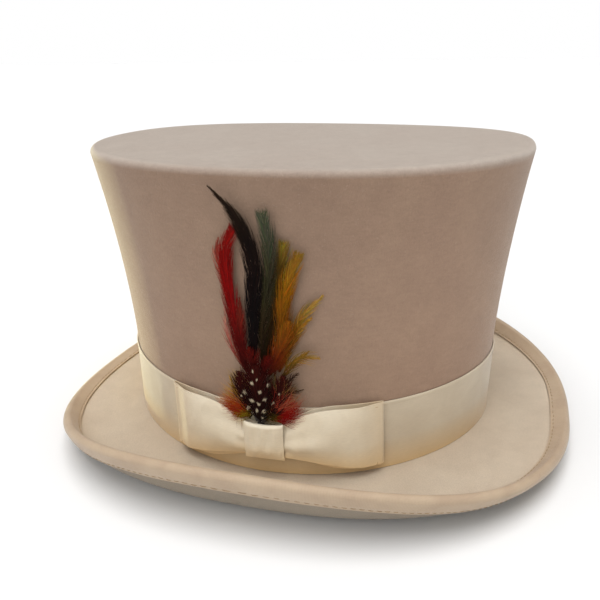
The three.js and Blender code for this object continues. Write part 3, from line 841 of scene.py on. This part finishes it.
def bow_knot():
    """The wrap round the middle: a rounded front whose upper and lower edges turn in behind."""
    back, front, low, high, middle = 6.25, 8.95, 12.45, 31.95, 22.2
    turn, chin = 1.35, 18.6
    arc = np.linspace(0, np.pi / 2, 8)
    lower = [(back, low + 0.9), (back + 0.15, low + 0.3), (back + 0.6, low + 0.05)]
    sweep = np.linspace(0.04, np.pi / 2, 12)
    lower += [
        (mix(7.15, front, math.sin(a)), mix(low + 0.35, chin, a / (np.pi / 2))) for a in sweep
    ]
    upper = [(front - turn + turn * math.cos(a), high - turn + turn * math.sin(a)) for a in arc]
    upper += [(back + 0.2, high - 0.3), (back, high - 0.9)]
    face = [(front, z) for z in np.linspace(chin, high - turn, 12)[1:-1]]
    path = np.array(lower + face + upper)
    y = np.linspace(KNOT_REAR_Y, KNOT_FRONT_Y, 40)[:, None]
    share = np.linspace(-1, 1, 40)[:, None]
    proud, height = path[None, :, 0], path[None, :, 1]
    depth = smooth(proud, back, front)
    waist = 0.5 * (1 - share**2) * np.sign(height - middle) * smooth(np.abs(height - middle), 4, 9)
    creases = 0.14 * np.sin(9 * share + 0.35 * (height - middle)) * (1 - share**4)
    creases = creases + 0.1 * np.sin(17 * share + 1)
    proud = proud - depth * (1.5 * np.abs(share) ** 4 + 0.25) + depth * creases * 0.8
    grid = bow_grid(y, height - waist, proud)
    return sheet_piece("bow_knot_ribbon", grid, RIBBON, bow_ribbon, "ribbon", ["bow_knot"])


knot = bow_knot()


def tack_stitches():
    """Short hand stitches that hold the loops' corners down on the band."""
    places = [  # y, height over the crown's foot, tilt
        (-51.6, 38.3, 0.3), (-48.6, 38.9, 0.1), (-52.0, 6.8, 1.2),
        (50.6, 38.6, -0.2), (51.0, 7.0, 1.3), (14.0, 30.2, 0.2),
    ]
    stations = np.linspace(-1, 1, 9)
    paths = []
    for y, height, tilt in places:
        ys = y + 1.1 * stations * math.cos(tilt)
        hs = height + 1.1 * stations * math.sin(tilt)
        lift = 4.55 + 0.28 * (1 - stations**2) - 0.5 * np.abs(stations) ** 4
        paths.append(bow_grid(ys, hs, lift))
    paths = np.array(paths)
    radii = np.full(paths.shape[:2], 0.17)
    points, faces = tubes(paths, radii, 6, (1.0, 0.1, 0.2))
    return add_piece("bow_tack_stitches", points, faces, tan_thread, "ribbon")


tack_stitches()

# ------------------------------------------------------- inside of the crown


SWEATBAND_INSET, SWEATBAND_FOOT, SWEATBAND_TOP = 5.77, 1.9, 44
LINING_FOOT, LINING_TOP_Z, LINING_INSET = 14, 152.4, 3.65


def sweatband_proud(angles, s):
    return -SWEATBAND_INSET - 0.25 * smooth(s, 0.9, 1) - 0.15 * (1 + wobble(angles, s * 2, 33)) * s


sweatband = wall_sheet(
    "sweatband_leather", sweatband_proud,
    lambda a: root_z(a) + SWEATBAND_FOOT, lambda a: root_z(a) + SWEATBAND_TOP,
    24, 1.0, leather, "leather", ["sweatband"],
)

reed_angles = ring_angles()
ring_tube(
    wall_point(reed_angles, root_z(reed_angles) + 0.6, -SWEATBAND_INSET), 0.85, 12,
    "sweatband_reed_cord", reed_plastic, "reed", ["sweatband_reed"],
)


def sweatband_stitches():
    """A row along each edge of the leather and two down its seam."""
    count = 210
    parts = []
    stations = np.linspace(-1, 1, 7)
    for height in (4.2, 41.6):
        angles = (np.arange(count) + 0.5) / count * 2 * np.pi
        at = angles[:, None] + stations[None, :] * 1.15 / 95
        proud = -6.42 - 0.3 * (height > 20) + 0.3 * np.abs(stations[None, :]) ** 3
        paths = wall_point(at, root_z(at) + height, np.broadcast_to(proud, at.shape))
        parts.append(tubes(paths, np.full(paths.shape[:2], 0.2), 5, (0.1, 0.2, 1.0)))
    seam = np.linspace(3, 43, 20)
    for offset in (-0.02, 0.02):
        at = math.pi / 2 + offset
        h = seam[:, None] + stations[None, :] * 0.75
        proud = -6.5 - 0.25 * h / SWEATBAND_TOP + 0.3 * np.abs(stations) ** 3
        paths = wall_point(np.full(h.shape, at), root_z(at) + h, proud)
        parts.append(tubes(paths, np.full(paths.shape[:2], 0.2), 5, (0.1, 1.0, 0.1)))
    return add_piece("sweatband_stitches", *joined(parts), tan_thread, "leather")


sweatband_stitches()


def sweatband_bow():
    """A small flat ribbon bow over the sweatband's seam: two loops and a knot."""
    height = root_z(math.pi / 2) + 7
    wall_y = wall_point(math.pi / 2, height, -6.32)[1] - 0.75

    def strip(xs, zs, half, lift, count=26, cols=9):
        t = np.linspace(0, 1, count)
        x = np.interp(t, np.linspace(0, 1, len(xs)), xs)
        z = np.interp(t, np.linspace(0, 1, len(zs)), zs)
        h = np.interp(t, np.linspace(0, 1, len(half)), half)
        up = np.interp(t, np.linspace(0, 1, len(lift)), lift)
        v = np.linspace(-1, 1, cols)[None, :]
        back = wall_y - up[:, None] - 0.1 * v * v
        rise = height + z[:, None] + v * h[:, None]
        grid = np.stack(np.broadcast_arrays(x[:, None], back, rise), -1)
        return shell(grid, 0.28)[:3]

    outward = np.array([0, 5, 8.6, 8.8, 8.6, 5, 0])
    upward = [0, 0.3, 0.3, 0.3, 0.3, 0.3, 0]
    half_widths = [1.3, 2.6, 3.2, 3.2, 3.2, 2.7, 1.2]
    lifts = [0, 0, 0, 0.45, 0.95, 0.95, 0.5]
    parts = [strip(side * outward, upward, half_widths, lifts) for side in (1, -1)]
    turn = np.linspace(0, 2 * np.pi, 28)
    x = np.linspace(-1.5, 1.5, 7)
    ring_y = np.minimum(wall_y - 0.45 + 0.95 * np.sin(turn), wall_y + 0.35)[:, None]
    ring_z = height + 1.75 * np.cos(turn)[:, None]
    grid = np.stack(np.broadcast_arrays(x[None, :], ring_y, ring_z), -1)
    parts.append(shell(grid, 0.25)[:3])
    points, faces = joined([(p, f) for p, f, _ in parts])
    uv = np.concatenate([u for _, _, u in parts])
    return add_piece(
        "sweatband_bow_ribbon", points, faces, lining_satin, "satin", ["sweatband_bow"], uv=uv,
    )


sweatband_bow()

LINING_AROUND = 480


def lining_proud(angles, s):
    gathers = 0.5 + 0.5 * np.sin(46 * angles + 1.6 * np.sin(7 * angles) + 0.8 * np.sin(11 * angles))
    pulled = 1.5 * gathers * smooth(s, 0.42, 1) * (1 - 0.35 * smooth(s, 0.97, 1))
    return -LINING_INSET - pulled - 0.25 * smooth(s, 0.3, 0.5)


lining = wall_sheet(
    "lining_side_satin", lining_proud,
    lambda a: root_z(a) + LINING_FOOT, lambda a: LINING_TOP_Z + 0 * a,
    56, 0.3, lining_satin, "satin", ["lining_side"], around=LINING_AROUND,
)


def lining_tip():
    """The oval disc under the tip, which sags a little between its edges."""
    angles = ring_angles()
    centre = np.array([0, crown_at(153.4)[2], 153.55])
    outer = wall_point(angles, 153.55, -3.5)
    rings = []
    for share in np.linspace(1, 0.002, 30):
        ring = mix(centre, outer, share)
        uneven = 0.25 * wobble(angles, share * 2, 44)
        uneven = uneven * smooth(share, 0.1, 0.5) * smooth(1 - share, 0, 0.1)
        ring[:, 2] -= 1.3 * (1 - share**2) + uneven
        rings.append(ring)
    grid = np.array(rings).transpose(1, 0, 2)
    points, faces, _, _ = shell(grid, 0.3, wrap=True)
    flat = points[:, :2] * MM
    return add_piece(
        "lining_tip_satin", points, faces, lining_satin, "satin", ["lining_tip"], uv=flat,
    )


lining_disc = lining_tip()
seam_angles = ring_angles()
ring_tube(
    wall_point(seam_angles, 152.75, -4.6), 0.55, 8,
    "lining_tip_piping", lining_satin, "satin", [],
)

# ----------------------------------------------------------------- feathers


RUN_ON = 8  # past a feather's tip, so that barbs near it keep its heading


def spine(path):
    """A function that gives place and heading by distance along a smooth line through [y, z]
    points, and the line's length."""
    p = np.array(path, float)
    p = np.vstack([2 * p[0] - p[1], p, 2 * p[-1] - p[-2]])
    t = np.linspace(0, 1, 24, endpoint=False)[:, None]
    parts = []
    for a, b, c, d in zip(p[:-3], p[1:-2], p[2:-1], p[3:]):
        bend = (2 * a - 5 * b + 4 * c - d) * t**2 + (3 * b - a - 3 * c + d) * t**3
        parts.append(0.5 * (2 * b + (c - a) * t + bend))
    line = np.vstack([*parts, p[-2]])
    line = np.vstack([line, line[-1] + unit(line[-1] - line[-3]) * RUN_ON])
    gone = np.concatenate([[0], np.cumsum(np.linalg.norm(np.diff(line, axis=0), axis=1))])
    heading = unit(np.gradient(line, axis=0))

    def at(distance):
        where = np.stack([np.interp(distance, gone, line[:, k]) for k in (0, 1)], -1)
        along = unit(np.stack([np.interp(distance, gone, heading[:, k]) for k in (0, 1)], -1))
        return where, along

    return at, gone[-1] - RUN_ON


def strands(plane, proud, half):
    """Thin three-sided barbs over the crown's side: plane is (strand, station, [y, z])."""
    tangent = unit(np.gradient(plane, axis=1))
    across = np.stack([tangent[..., 1], -tangent[..., 0]], -1) * half[..., None]
    corners = [(plane + across, proud), (plane, proud + half * 0.8), (plane - across, proud)]
    points = np.stack([side_point(p[..., 0], p[..., 1], q) for p, q in corners], 2)
    return points.reshape(-1, 3), strand_faces(*plane.shape[:2], 3)


def dyed(stops, share):
    """Colour along a feather, from [share, r, g, b] stops."""
    stops = np.array([[s[0], *linear(*s[1:])[:3]] for s in stops])
    return np.stack([np.interp(share, stops[:, 0], stops[:, k]) for k in (1, 2, 3)], -1)


def feather_parts(
    path, width, proud, count, reach, stops,
    loose=0.25, blunt=0.0, start=0.5, spots=None, stations=7, fine=0.15, filled=0.45, ragged=0.25,
):
    """A vane of barbs on both sides of a tapering shaft. reach is how far barbs lean toward the
    tip, start and blunt are the vane's relative width at its root and its tip, filled is the share
    of short barbs, and spots are (y, z, half width, half height) of pale dots."""
    at, total = spine(path)
    t = np.repeat(np.linspace(0.01, 0.985, count), 2)
    t = np.clip(t + rng.normal(0, 0.006, 2 * count), 0, 0.995)
    side = np.tile([-1.0, 1.0], count)
    profile = mix(start, 1, smooth(t, 0, 0.3)) * mix(1, mix(0.12, 0.85, blunt), smooth(t, 0.45, 1))
    half = width / 2 * profile * (1 + rng.normal(0, loose, len(t)).clip(-0.7, 0.9))
    half = half * np.where(rng.uniform(0, 1, len(t)) < filled, rng.uniform(0.05, 0.9, len(t)), 1)
    forward = width / 2 * profile * reach * rng.uniform(1 - ragged, 1 + ragged, len(t)) + 1.2
    room = total * 1.015 - t * total
    forward = np.minimum(forward, np.maximum(room * rng.uniform(0.8, 1.1, len(t)), 0.8))
    k = np.linspace(0, 1, stations)
    lateral = (side * half)[:, None] * (1 - (1 - k) ** 1.7)
    sway = rng.normal(0, 0.12 + 0.35 * loose, len(t))[:, None] * k**2
    where, along = at(t[:, None] * total + forward[:, None] * k)
    normal = np.stack([along[..., 1], -along[..., 0]], -1)
    plane = where + normal * (lateral + sway)[..., None]
    lift = proud + rng.uniform(0, 0.5, len(t))[:, None]
    lift = lift + 0.35 * k * rng.uniform(0.2, 1, len(t))[:, None]
    thick = fine * rng.uniform(0.75, 1.3, len(t))[:, None] * (1 - 0.8 * k**1.5)
    share = t[:, None] + forward[:, None] * k / total
    colour = dyed(stops, share) * rng.lognormal(-0.02, 0.24, len(t))[:, None, None]
    colour = colour * (1 + 0.12 * rng.normal(0, 1, (len(t), 1, 3)))
    if spots is not None:
        cream = linear(186, 172, 146)[:3]
        for y, z, wide, tall in spots:
            gone = ((plane[..., 0] - y) / wide) ** 2 + ((plane[..., 1] - z) / tall) ** 2
            colour = mix(colour, np.array(cream), (1 - smooth(gone, 0.7, 1.25))[..., None])
    vane = strands(plane, lift, thick)
    s = np.linspace(0, 1, 40)[None, :]
    shaft_plane, _ = at(s * total)
    shaft = strands(shaft_plane, np.full(s.shape, proud + 0.3), mix(0.36, 0.08, s))
    shaft_colour = dyed(stops, s) * 0.8
    dye = np.concatenate([np.repeat(c.reshape(-1, 3), 3, 0) for c in (colour, shaft_colour)])
    return vane, shaft, dye.clip(0.002, 0.95)


def feather_piece(name, node, slot, parts, dye):
    points, faces = joined(parts)
    return add_piece(name, points, faces, feather_dye, slot, [node], body=MOUNT, dye=dye, crease=80)


def feather(name, node, slot, *blades):
    """One piece made of one or more vanes."""
    parts, dyes = [], []
    for blade in blades:
        vane, shaft, dye = feather_parts(**blade)
        parts += [vane, shaft]
        dyes.append(dye)
    return feather_piece(name, node, slot, parts, np.concatenate(dyes))


def vane(path, width, proud, count, reach, loose, stops, **more):
    return dict(
        path=path, width=width, proud=proud, count=count, reach=reach, loose=loose, stops=stops,
        **more,
    )


feather("hackle_black", "feather_black", "feather_black",
    vane([[-4.6, 58], [-4.4, 72], [-2.6, 93], [-0.6, 114], [-2.9, 129], [-7.6, 139],
          [-16.2, 149.3]],
         7.4, 4.6, 260, 6.5, 0.2,
         [[0, 22, 4, 3], [0.3, 11, 3, 2], [0.7, 20, 10, 6], [1, 38, 25, 15]], start=0.6),
)
feather("hackle_red_tall", "feather_red_tall", "feather_red",
    vane([[-7.8, 58], [-12, 74], [-13.6, 92], [-14.4, 109], [-13.2, 122], [-8.4, 131.5]],
         5.8, 3.3, 220, 7, 0.3,
         [[0, 50, 4, 3], [0.3, 96, 12, 8], [0.6, 120, 6, 4], [1, 126, 15, 10]],
         start=0.85, blunt=0.6),
)
feather("hackle_red_outer", "feather_red_outer", "feather_red",
    vane([[-14.8, 92], [-17.4, 108], [-18.8, 118], [-16.8, 125.6]],
         4.2, 2, 56, 4, 0.45, [[0, 112, 18, 12], [1, 152, 64, 50]]),
    vane([[-14.6, 96], [-16.0, 108], [-16.4, 114], [-14.6, 121]],
         3, 2.3, 40, 4, 0.4, [[0, 112, 14, 10], [1, 146, 50, 40]]),
)
feather("hackle_pink_wisp", "feather_pink_wisp", "feather_pink",
    vane([[-10.5, 59], [-15, 67], [-17.8, 76], [-18.6, 91]],
         3.6, 2, 44, 3.8, 0.5, [[0, 116, 24, 16], [0.5, 158, 84, 70], [1, 172, 120, 104]]),
    vane([[-9.5, 58], [-13.2, 66], [-15.6, 78], [-16.4, 88]],
         2.4, 2.2, 30, 3.8, 0.5, [[0, 100, 16, 10], [1, 158, 92, 76]]),
)
feather("hackle_red_short", "feather_red_short", "feather_red",
    vane([[-9.4, 60], [-9.6, 72], [-9.4, 84], [-8.6, 98]],
         3.8, 4.6, 120, 4.4, 0.4, [[0, 52, 5, 3], [0.5, 84, 10, 6], [1, 104, 36, 24]], start=0.9),
)
feather("hackle_grey_green", "feather_green", "feather_green",
    vane([[-0.6, 58], [0.2, 82], [2.8, 97], [6.2, 114], [6.6, 128], [5.4, 139.3]],
         6.4, 3.3, 230, 5, 0.36,
         [[0, 26, 9, 3], [0.3, 38, 28, 12], [0.7, 50, 48, 31], [1, 72, 77, 58]], blunt=0.75),
)
feather("hackle_olive", "feather_olive", "feather_olive",
    vane([[-0.8, 58], [3.2, 78], [6.8, 94], [10.4, 110], [13.4, 125.5]],
         7, 2, 190, 5, 0.4,
         [[0, 34, 10, 3], [0.5, 46, 30, 5], [0.8, 68, 50, 9], [1, 120, 96, 32]], blunt=0.5),
)
feather("hackle_yellow_tall", "feather_yellow_tall", "feather_yellow",
    vane([[4.4, 58], [8.6, 76], [11.6, 97], [15.4, 110], [20.3, 120.8]],
         6.2, 3.3, 210, 5.5, 0.35,
         [[0, 66, 15, 2], [0.35, 106, 57, 2], [0.7, 126, 79, 3], [1, 140, 102, 32]], blunt=0.55),
)
feather("hackle_yellow_side", "feather_yellow_side", "feather_yellow",
    vane([[6.8, 60], [12.6, 76], [18.8, 89], [29, 100]],
         5, 2, 100, 4.6, 0.55, [[0, 100, 44, 4], [0.5, 134, 88, 12], [1, 160, 128, 60]]),
    vane([[6.4, 60], [11.4, 72], [17.4, 83], [23.4, 89]],
         3.6, 2.4, 64, 4.4, 0.6, [[0, 96, 38, 4], [1, 150, 108, 34]]),
)
feather("hackle_yellow_low", "feather_yellow_low", "feather_yellow",
    vane([[8.4, 58.5], [13, 66], [19, 69.5], [26.6, 69.4]],
         4.4, 4.6, 36, 4, 0.6, [[0, 50, 22, 5], [0.5, 120, 84, 16], [1, 160, 124, 60]]),
    vane([[7.4, 57], [12, 62], [17, 68], [22, 73]],
         3.0, 4.8, 26, 4, 0.6, [[0, 48, 20, 5], [1, 136, 98, 30]]),
)
feather("hackle_orange", "feather_orange", "feather_orange",
    vane([[2.2, 58], [6.4, 68], [10.4, 78], [14, 88]],
         5.8, 4.6, 160, 4.6, 0.5, [[0, 46, 8, 2], [0.4, 96, 34, 3], [1, 132, 78, 12]], start=0.9),
)

SPOTS = [
    (-9.7, 49.6, 0.95, 0.85), (-5.3, 55.2, 0.8, 0.9), (-1.7, 50.8, 0.9, 0.75),
    (-6.0, 45.8, 1.15, 0.8), (0.6, 47.2, 0.75, 0.8), (-8.4, 41.0, 1.0, 0.8),
    (-2.6, 44.1, 0.8, 0.85), (-3.8, 40.6, 0.5, 1.0), (-0.3, 40.5, 0.75, 0.8),
    (-4.4, 61.6, 0.4, 0.9), (2.6, 55.0, 0.55, 0.8), (4.3, 45.0, 0.55, 0.6),
    (-2.6, 57.6, 0.4, 0.6), (-12.0, 46.8, 0.45, 0.6), (7.2, 50.0, 0.5, 0.5),
    (-1.4, 36.8, 0.5, 0.6),
]
GUINEA = [[0, 20, 9, 6], [0.5, 34, 8, 5], [1, 54, 10, 5]]


def guinea(path, width, proud, count):
    return vane(
        path, width, proud, count, 1.7, 0.3, GUINEA, blunt=0.12, start=0.8,
        ragged=0.5, spots=SPOTS, stations=14, fine=0.2,
    )


def wisp(path, width, proud, count, stops):
    return vane(path, width, proud, count, 2.0, 0.6, stops, stations=8)


DARK_WISP = [[0, 26, 9, 5], [1, 52, 32, 18]]
MAROON_WISP = [[0, 22, 7, 4], [0.5, 50, 8, 4], [1, 84, 14, 6]]
feather("guinea_vane_front", "guinea_feather_left", "feather_spotted",
    guinea([[-8.2, 34.8], [-10, 43], [-11.6, 52], [-12.4, 60]], 8.4, 5.9, 90),
    wisp([[-8.6, 40], [-12.4, 45], [-15.4, 50], [-17.6, 56]], 3, 5.6, 26,
         [[0, 52, 26, 20], [1, 170, 130, 50]]),
)
feather("guinea_vane_middle", "guinea_feather_centre", "feather_spotted",
    guinea([[-2.6, 34.6], [-2.9, 43], [-3.1, 53], [-3.2, 65]], 11.4, 7.2, 170),
    wisp([[-3.4, 50], [-4.4, 58], [-5.4, 66], [-5.8, 74]], 8, 6.4, 90, MAROON_WISP),
    wisp([[-1.6, 50], [-0.6, 57], [1.4, 64], [4.2, 70]], 7, 6.2, 70, MAROON_WISP),
)
feather("guinea_vane_rear", "guinea_feather_right", "feather_spotted",
    guinea([[3, 34.8], [5.2, 43], [7.8, 52], [10, 60]], 8.4, 5.9, 90),
    wisp([[4, 46], [8, 52], [12, 57], [17, 62]], 4, 5.8, 34, DARK_WISP),
    wisp([[5, 44], [9, 48], [13, 51], [18.6, 53]], 3.4, 5.8, 28, DARK_WISP),
)


def fluff(name, node, slot, fibres):
    """Loose downy fibres. Each entry is (count, start, scatter of the starts, heading in degrees,
    fan, length, curl, how proud, colour at the root, colour at the tip)."""
    parts, dyes = [], []
    k = np.linspace(0, 1, 12)
    for count, base, scatter, heading, fan, length, curl, proud, root, tip in fibres:
        begin = np.array(base) + rng.normal(0, scatter, (count, 2))
        turn = np.radians(heading + rng.normal(0, fan, count))
        bend = np.radians(curl * rng.uniform(0.4, 1.4, count))
        reach = length * rng.uniform(0.55, 1.1, count)
        angle = turn[:, None] + bend[:, None] * k
        angle = angle + rng.normal(0, 0.25, count)[:, None] * np.sin(3 * k)
        step = reach[:, None] / (len(k) - 1)
        move = np.stack([np.cos(angle), np.sin(angle)], -1) * step[..., None]
        plane = begin[:, None] + np.cumsum(move, 1) - move[:, :1]
        lift = proud + rng.uniform(0, 1.1, count)[:, None]
        lift = lift + 0.8 * k * rng.uniform(-0.4, 1, count)[:, None]
        half = 0.085 * rng.uniform(0.7, 1.3, count)[:, None] * (1 - 0.75 * k)
        colour = dyed([[0, *root], [1, *tip]], np.broadcast_to(k, half.shape))
        colour = colour * rng.lognormal(0, 0.22, count)[:, None, None]
        parts.append(strands(plane, lift, half))
        dyes.append(np.repeat(colour.reshape(-1, 3), 3, 0))
    return feather_piece(name, node, slot, parts, np.concatenate(dyes).clip(0.002, 0.95))


fluff("down_front", "fluff_left", "feather_orange", [
    (240, (-10.5, 40.4), 1.5, 172, 18, 13.5, 10, 5.2, (150, 44, 4), (186, 104, 36)),
    (240, (-11.0, 38.8), 1.5, 186, 14, 12.0, -14, 5.4, (120, 6, 4), (160, 44, 26)),
    (180, (-11.0, 44.0), 1.4, 150, 20, 11.0, 20, 4.8, (150, 94, 6), (176, 134, 48)),
    (150, (-9.6, 50.0), 1.5, 118, 16, 11.0, 6, 4.6, (120, 84, 8), (160, 128, 46)),
    (70, (-12.0, 41.0), 1.6, 172, 36, 16.0, 20, 5.2, (150, 70, 46), (186, 140, 106)),
    (70, (-9.0, 37.4), 1.2, 196, 14, 8.0, -10, 5.8, (104, 80, 10), (140, 116, 28)),
])
fluff("down_rear", "fluff_right", "feather_red", [
    (300, (3.6, 38.6), 1.6, 352, 13, 15.0, 50, 5.2, (106, 5, 4), (150, 14, 10)),
    (220, (4.6, 41.0), 1.5, 8, 18, 12.0, 55, 5.2, (120, 10, 6), (158, 50, 34)),
    (150, (5.0, 46.4), 1.4, 36, 18, 12.0, 30, 4.8, (96, 80, 14), (150, 124, 50)),
    (110, (3.6, 49.4), 1.5, 54, 20, 12.0, 12, 4.8, (30, 20, 6), (84, 66, 26)),
    (70, (5.0, 42.0), 1.6, 18, 30, 16.0, 50, 5.4, (140, 56, 36), (176, 108, 80)),
    (60, (0.6, 36.6), 1.2, 0, 20, 7.0, 20, 6.0, (44, 34, 6), (90, 72, 18)),
])


QUILL_Y = -3.2  # the mount's middle
STEM_LENGTH = 17


def quill_bundle():
    """Bare quills gathered under the feathers, with their binding thread."""
    count = 11
    k = np.linspace(0, 1, 14)
    offset = np.linspace(-1, 1, count)
    y = QUILL_Y + offset[:, None] * mix(2.6, 4.2, smooth(k, 0, 0.6))[None, :]
    z = np.broadcast_to(mix(33.4, 56.8, k), y.shape)
    layer = (np.arange(count) % 2)[:, None]
    proud = mix(4.75, 3.1, smooth(k, 0, 0.3))[None, :] + 0.55 * layer - 0.1
    quills = strands(np.stack([y, z], -1), proud, np.full(y.shape, 0.46))
    turns, steps = 9, 260
    t = np.linspace(0, 1, steps)[None, :]
    around = t * turns * 2 * np.pi
    coil_y = QUILL_Y + 3.3 * np.cos(around)
    coil = side_point(coil_y, 34.4 + 5.2 * t, 4.6 + 0.85 * np.sin(around))
    thread = tubes(coil, np.full(t.shape, 0.24), 6, (0.02, 0.03, 1.0))
    points, faces = joined([quills, thread])
    return add_piece(
        "quill_bundle_thread", points, faces, dark_thread, "binding_thread",
        ["feather_quill_bundle"], body=MOUNT,
    )


quill_bundle()


def quill_stem():
    """The flat wrapped stem that tucks in behind the bow's knot."""
    top = side_point(np.array(QUILL_Y), np.array(32.8), np.array(4.9))
    stations, sides = 60, 24
    down = np.linspace(0, STEM_LENGTH, stations)[:, None]
    turn = np.linspace(0, 2 * np.pi, sides, endpoint=False)[None, :]
    taper = mix(1, 0.5, smooth(down, STEM_LENGTH - 1.8, STEM_LENGTH))
    wraps = 1 + 0.05 * np.sin(2 * np.pi * down / 0.85 + turn)
    squared = np.abs(np.cos(turn)) ** 0.55 * np.sign(np.cos(turn))
    flat = np.abs(np.sin(turn)) ** 0.55 * np.sign(np.sin(turn))
    centre = top - SLIDE * down[..., None]
    across = (1.92 * taper * wraps * squared)[..., None] * np.array([0, 1, 0])
    out = (0.42 * taper**0.3 * wraps * flat)[..., None] * np.array([1, 0, 0])
    points = (centre + across + out).reshape(-1, 3)
    faces = quads(stations, sides, wrap_cols=True).tolist()
    faces += [list(range(sides)), list(range((stations - 1) * sides, stations * sides))]
    return add_piece(
        "quill_stem_wrap", points, faces, dark_thread, "binding_thread", ["feather_stem"],
        body=MOUNT,
    )


quill_stem()

# ---------------------------------------------------- floor, light, camera


FLOOR_RADIUS = 30  # metres


def floor():
    rows, cols = 40, 72
    radius = np.linspace(0.02, 1, rows)[:, None] ** 2.2 * FLOOR_RADIUS
    turn = ring_angles(cols)[None, :]
    x, y = radius * np.cos(turn), radius * np.sin(turn)
    points = np.stack(np.broadcast_arrays(x, y, 0 * radius), -1)
    mesh = bpy.data.meshes.new("floor")
    points = np.concatenate([points.reshape(-1, 3), [[0, 0, 0]]])
    faces = quads(rows, cols, wrap_cols=True).tolist()
    faces += [[j, (j + 1) % cols, rows * cols] for j in range(cols)]
    mesh.from_pydata(points.tolist(), [], faces)
    plane = bpy.data.objects.new("floor", mesh)
    bpy.context.scene.collection.objects.link(plane)
    look = Look("floor_look", Specular_IOR_Level=0.1)
    tone = look.spread(look.noise(look.place(), 3.0, 2.0), 0.3, 0.7)
    colour = look.blend(tone, (0.8, 0.8, 0.8, 1), (0.82, 0.82, 0.82, 1))
    mesh.materials.append(look.done(colour, look.spread(tone, 0.0, 1.0, 0.8, 0.9)))


floor()


def world():
    """Faint even light from above, and a bright band at the horizon that meets the floor's
    far edge."""
    made = bpy.data.worlds.new("studio")
    bpy.context.scene.world = made
    made.use_nodes = True
    tree = made.node_tree
    back = tree.nodes["Background"]
    coords = tree.nodes.new("ShaderNodeTexCoord")
    split = tree.nodes.new("ShaderNodeSeparateXYZ")
    ramp = tree.nodes.new("ShaderNodeMapRange")
    tree.links.new(coords.outputs["Generated"], split.inputs[0])
    tree.links.new(split.outputs[2], ramp.inputs["Value"])
    for key, value in {"From Min": 0.08, "From Max": 0.17, "To Min": 1.0, "To Max": 0.12}.items():
        ramp.inputs[key].default_value = value
    tree.links.new(ramp.outputs[0], back.inputs["Strength"])
    back.inputs["Color"].default_value = (1, 1, 1, 1)


world()


def light(name, kind, place, toward, energy, colour, **settings):
    lamp = bpy.data.lights.new(name, kind)
    lamp.energy = energy
    lamp.color = colour
    for key, value in settings.items():
        setattr(lamp, key, value)
    holder = bpy.data.objects.new(name, lamp)
    bpy.context.scene.collection.objects.link(holder)
    holder.location = place
    aim = Vector(toward) - Vector(place)
    holder.rotation_mode = "QUATERNION"
    holder.rotation_quaternion = aim.to_track_quat("-Z", "Y")


light(
    "overhead_softbox", "SUN", (0.1, 0.0, 2.0), (0, 0, 0), 3.0, (1.0, 1.0, 1.0),
    angle=math.radians(60),
)
light(
    "front_softbox", "SUN", (1.45, 0.0, 1.1), (0, 0, 0), 1.2, (1.0, 1.0, 1.0),
    angle=math.radians(50),
)
light(
    "warm_side_spot", "SPOT", (-0.465, -0.997, 0.006), (-0.272, 0.127, 0.11), 68.0,
    (1.0, 0.97, 0.5), spot_size=math.radians(44.3), spot_blend=0.05, shadow_soft_size=0.022,
)

AZIMUTH, ELEVATION, ROLL = math.radians(106.0), math.radians(15.57), math.radians(-0.64)
TARGET = Vector((-5.08, 5.75, 95.48))
DISTANCE = 397.5
FOCAL_SHARE = 680.1 / 600  # focal length over the picture's width
SENSOR = 36.0


def camera():
    made = bpy.data.cameras.new("camera")
    made.sensor_width = SENSOR
    made.lens = SENSOR * FOCAL_SHARE
    made.shift_x, made.shift_y = -0.0535, -0.0902
    made.clip_start, made.clip_end = 0.01, 100
    level_back = math.cos(ELEVATION)
    back = Vector((
        math.sin(AZIMUTH) * level_back, -math.cos(AZIMUTH) * level_back, math.sin(ELEVATION),
    ))
    level = Vector((math.cos(AZIMUTH), math.sin(AZIMUTH), 0))
    up = back.cross(level)
    right = level * math.cos(ROLL) + up * math.sin(ROLL)
    over = up * math.cos(ROLL) - level * math.sin(ROLL)
    holder = bpy.data.objects.new("camera", made)
    bpy.context.scene.collection.objects.link(holder)
    holder.matrix_world = Matrix((
        (right.x, over.x, back.x, (TARGET.x + back.x * DISTANCE) * MM),
        (right.y, over.y, back.y, (TARGET.y + back.y * DISTANCE) * MM),
        (right.z, over.z, back.z, (TARGET.z + back.z * DISTANCE) * MM),
        (0, 0, 0, 1),
    ))
    bpy.context.scene.camera = holder


camera()
bpy.context.scene.view_settings.view_transform = "Standard"
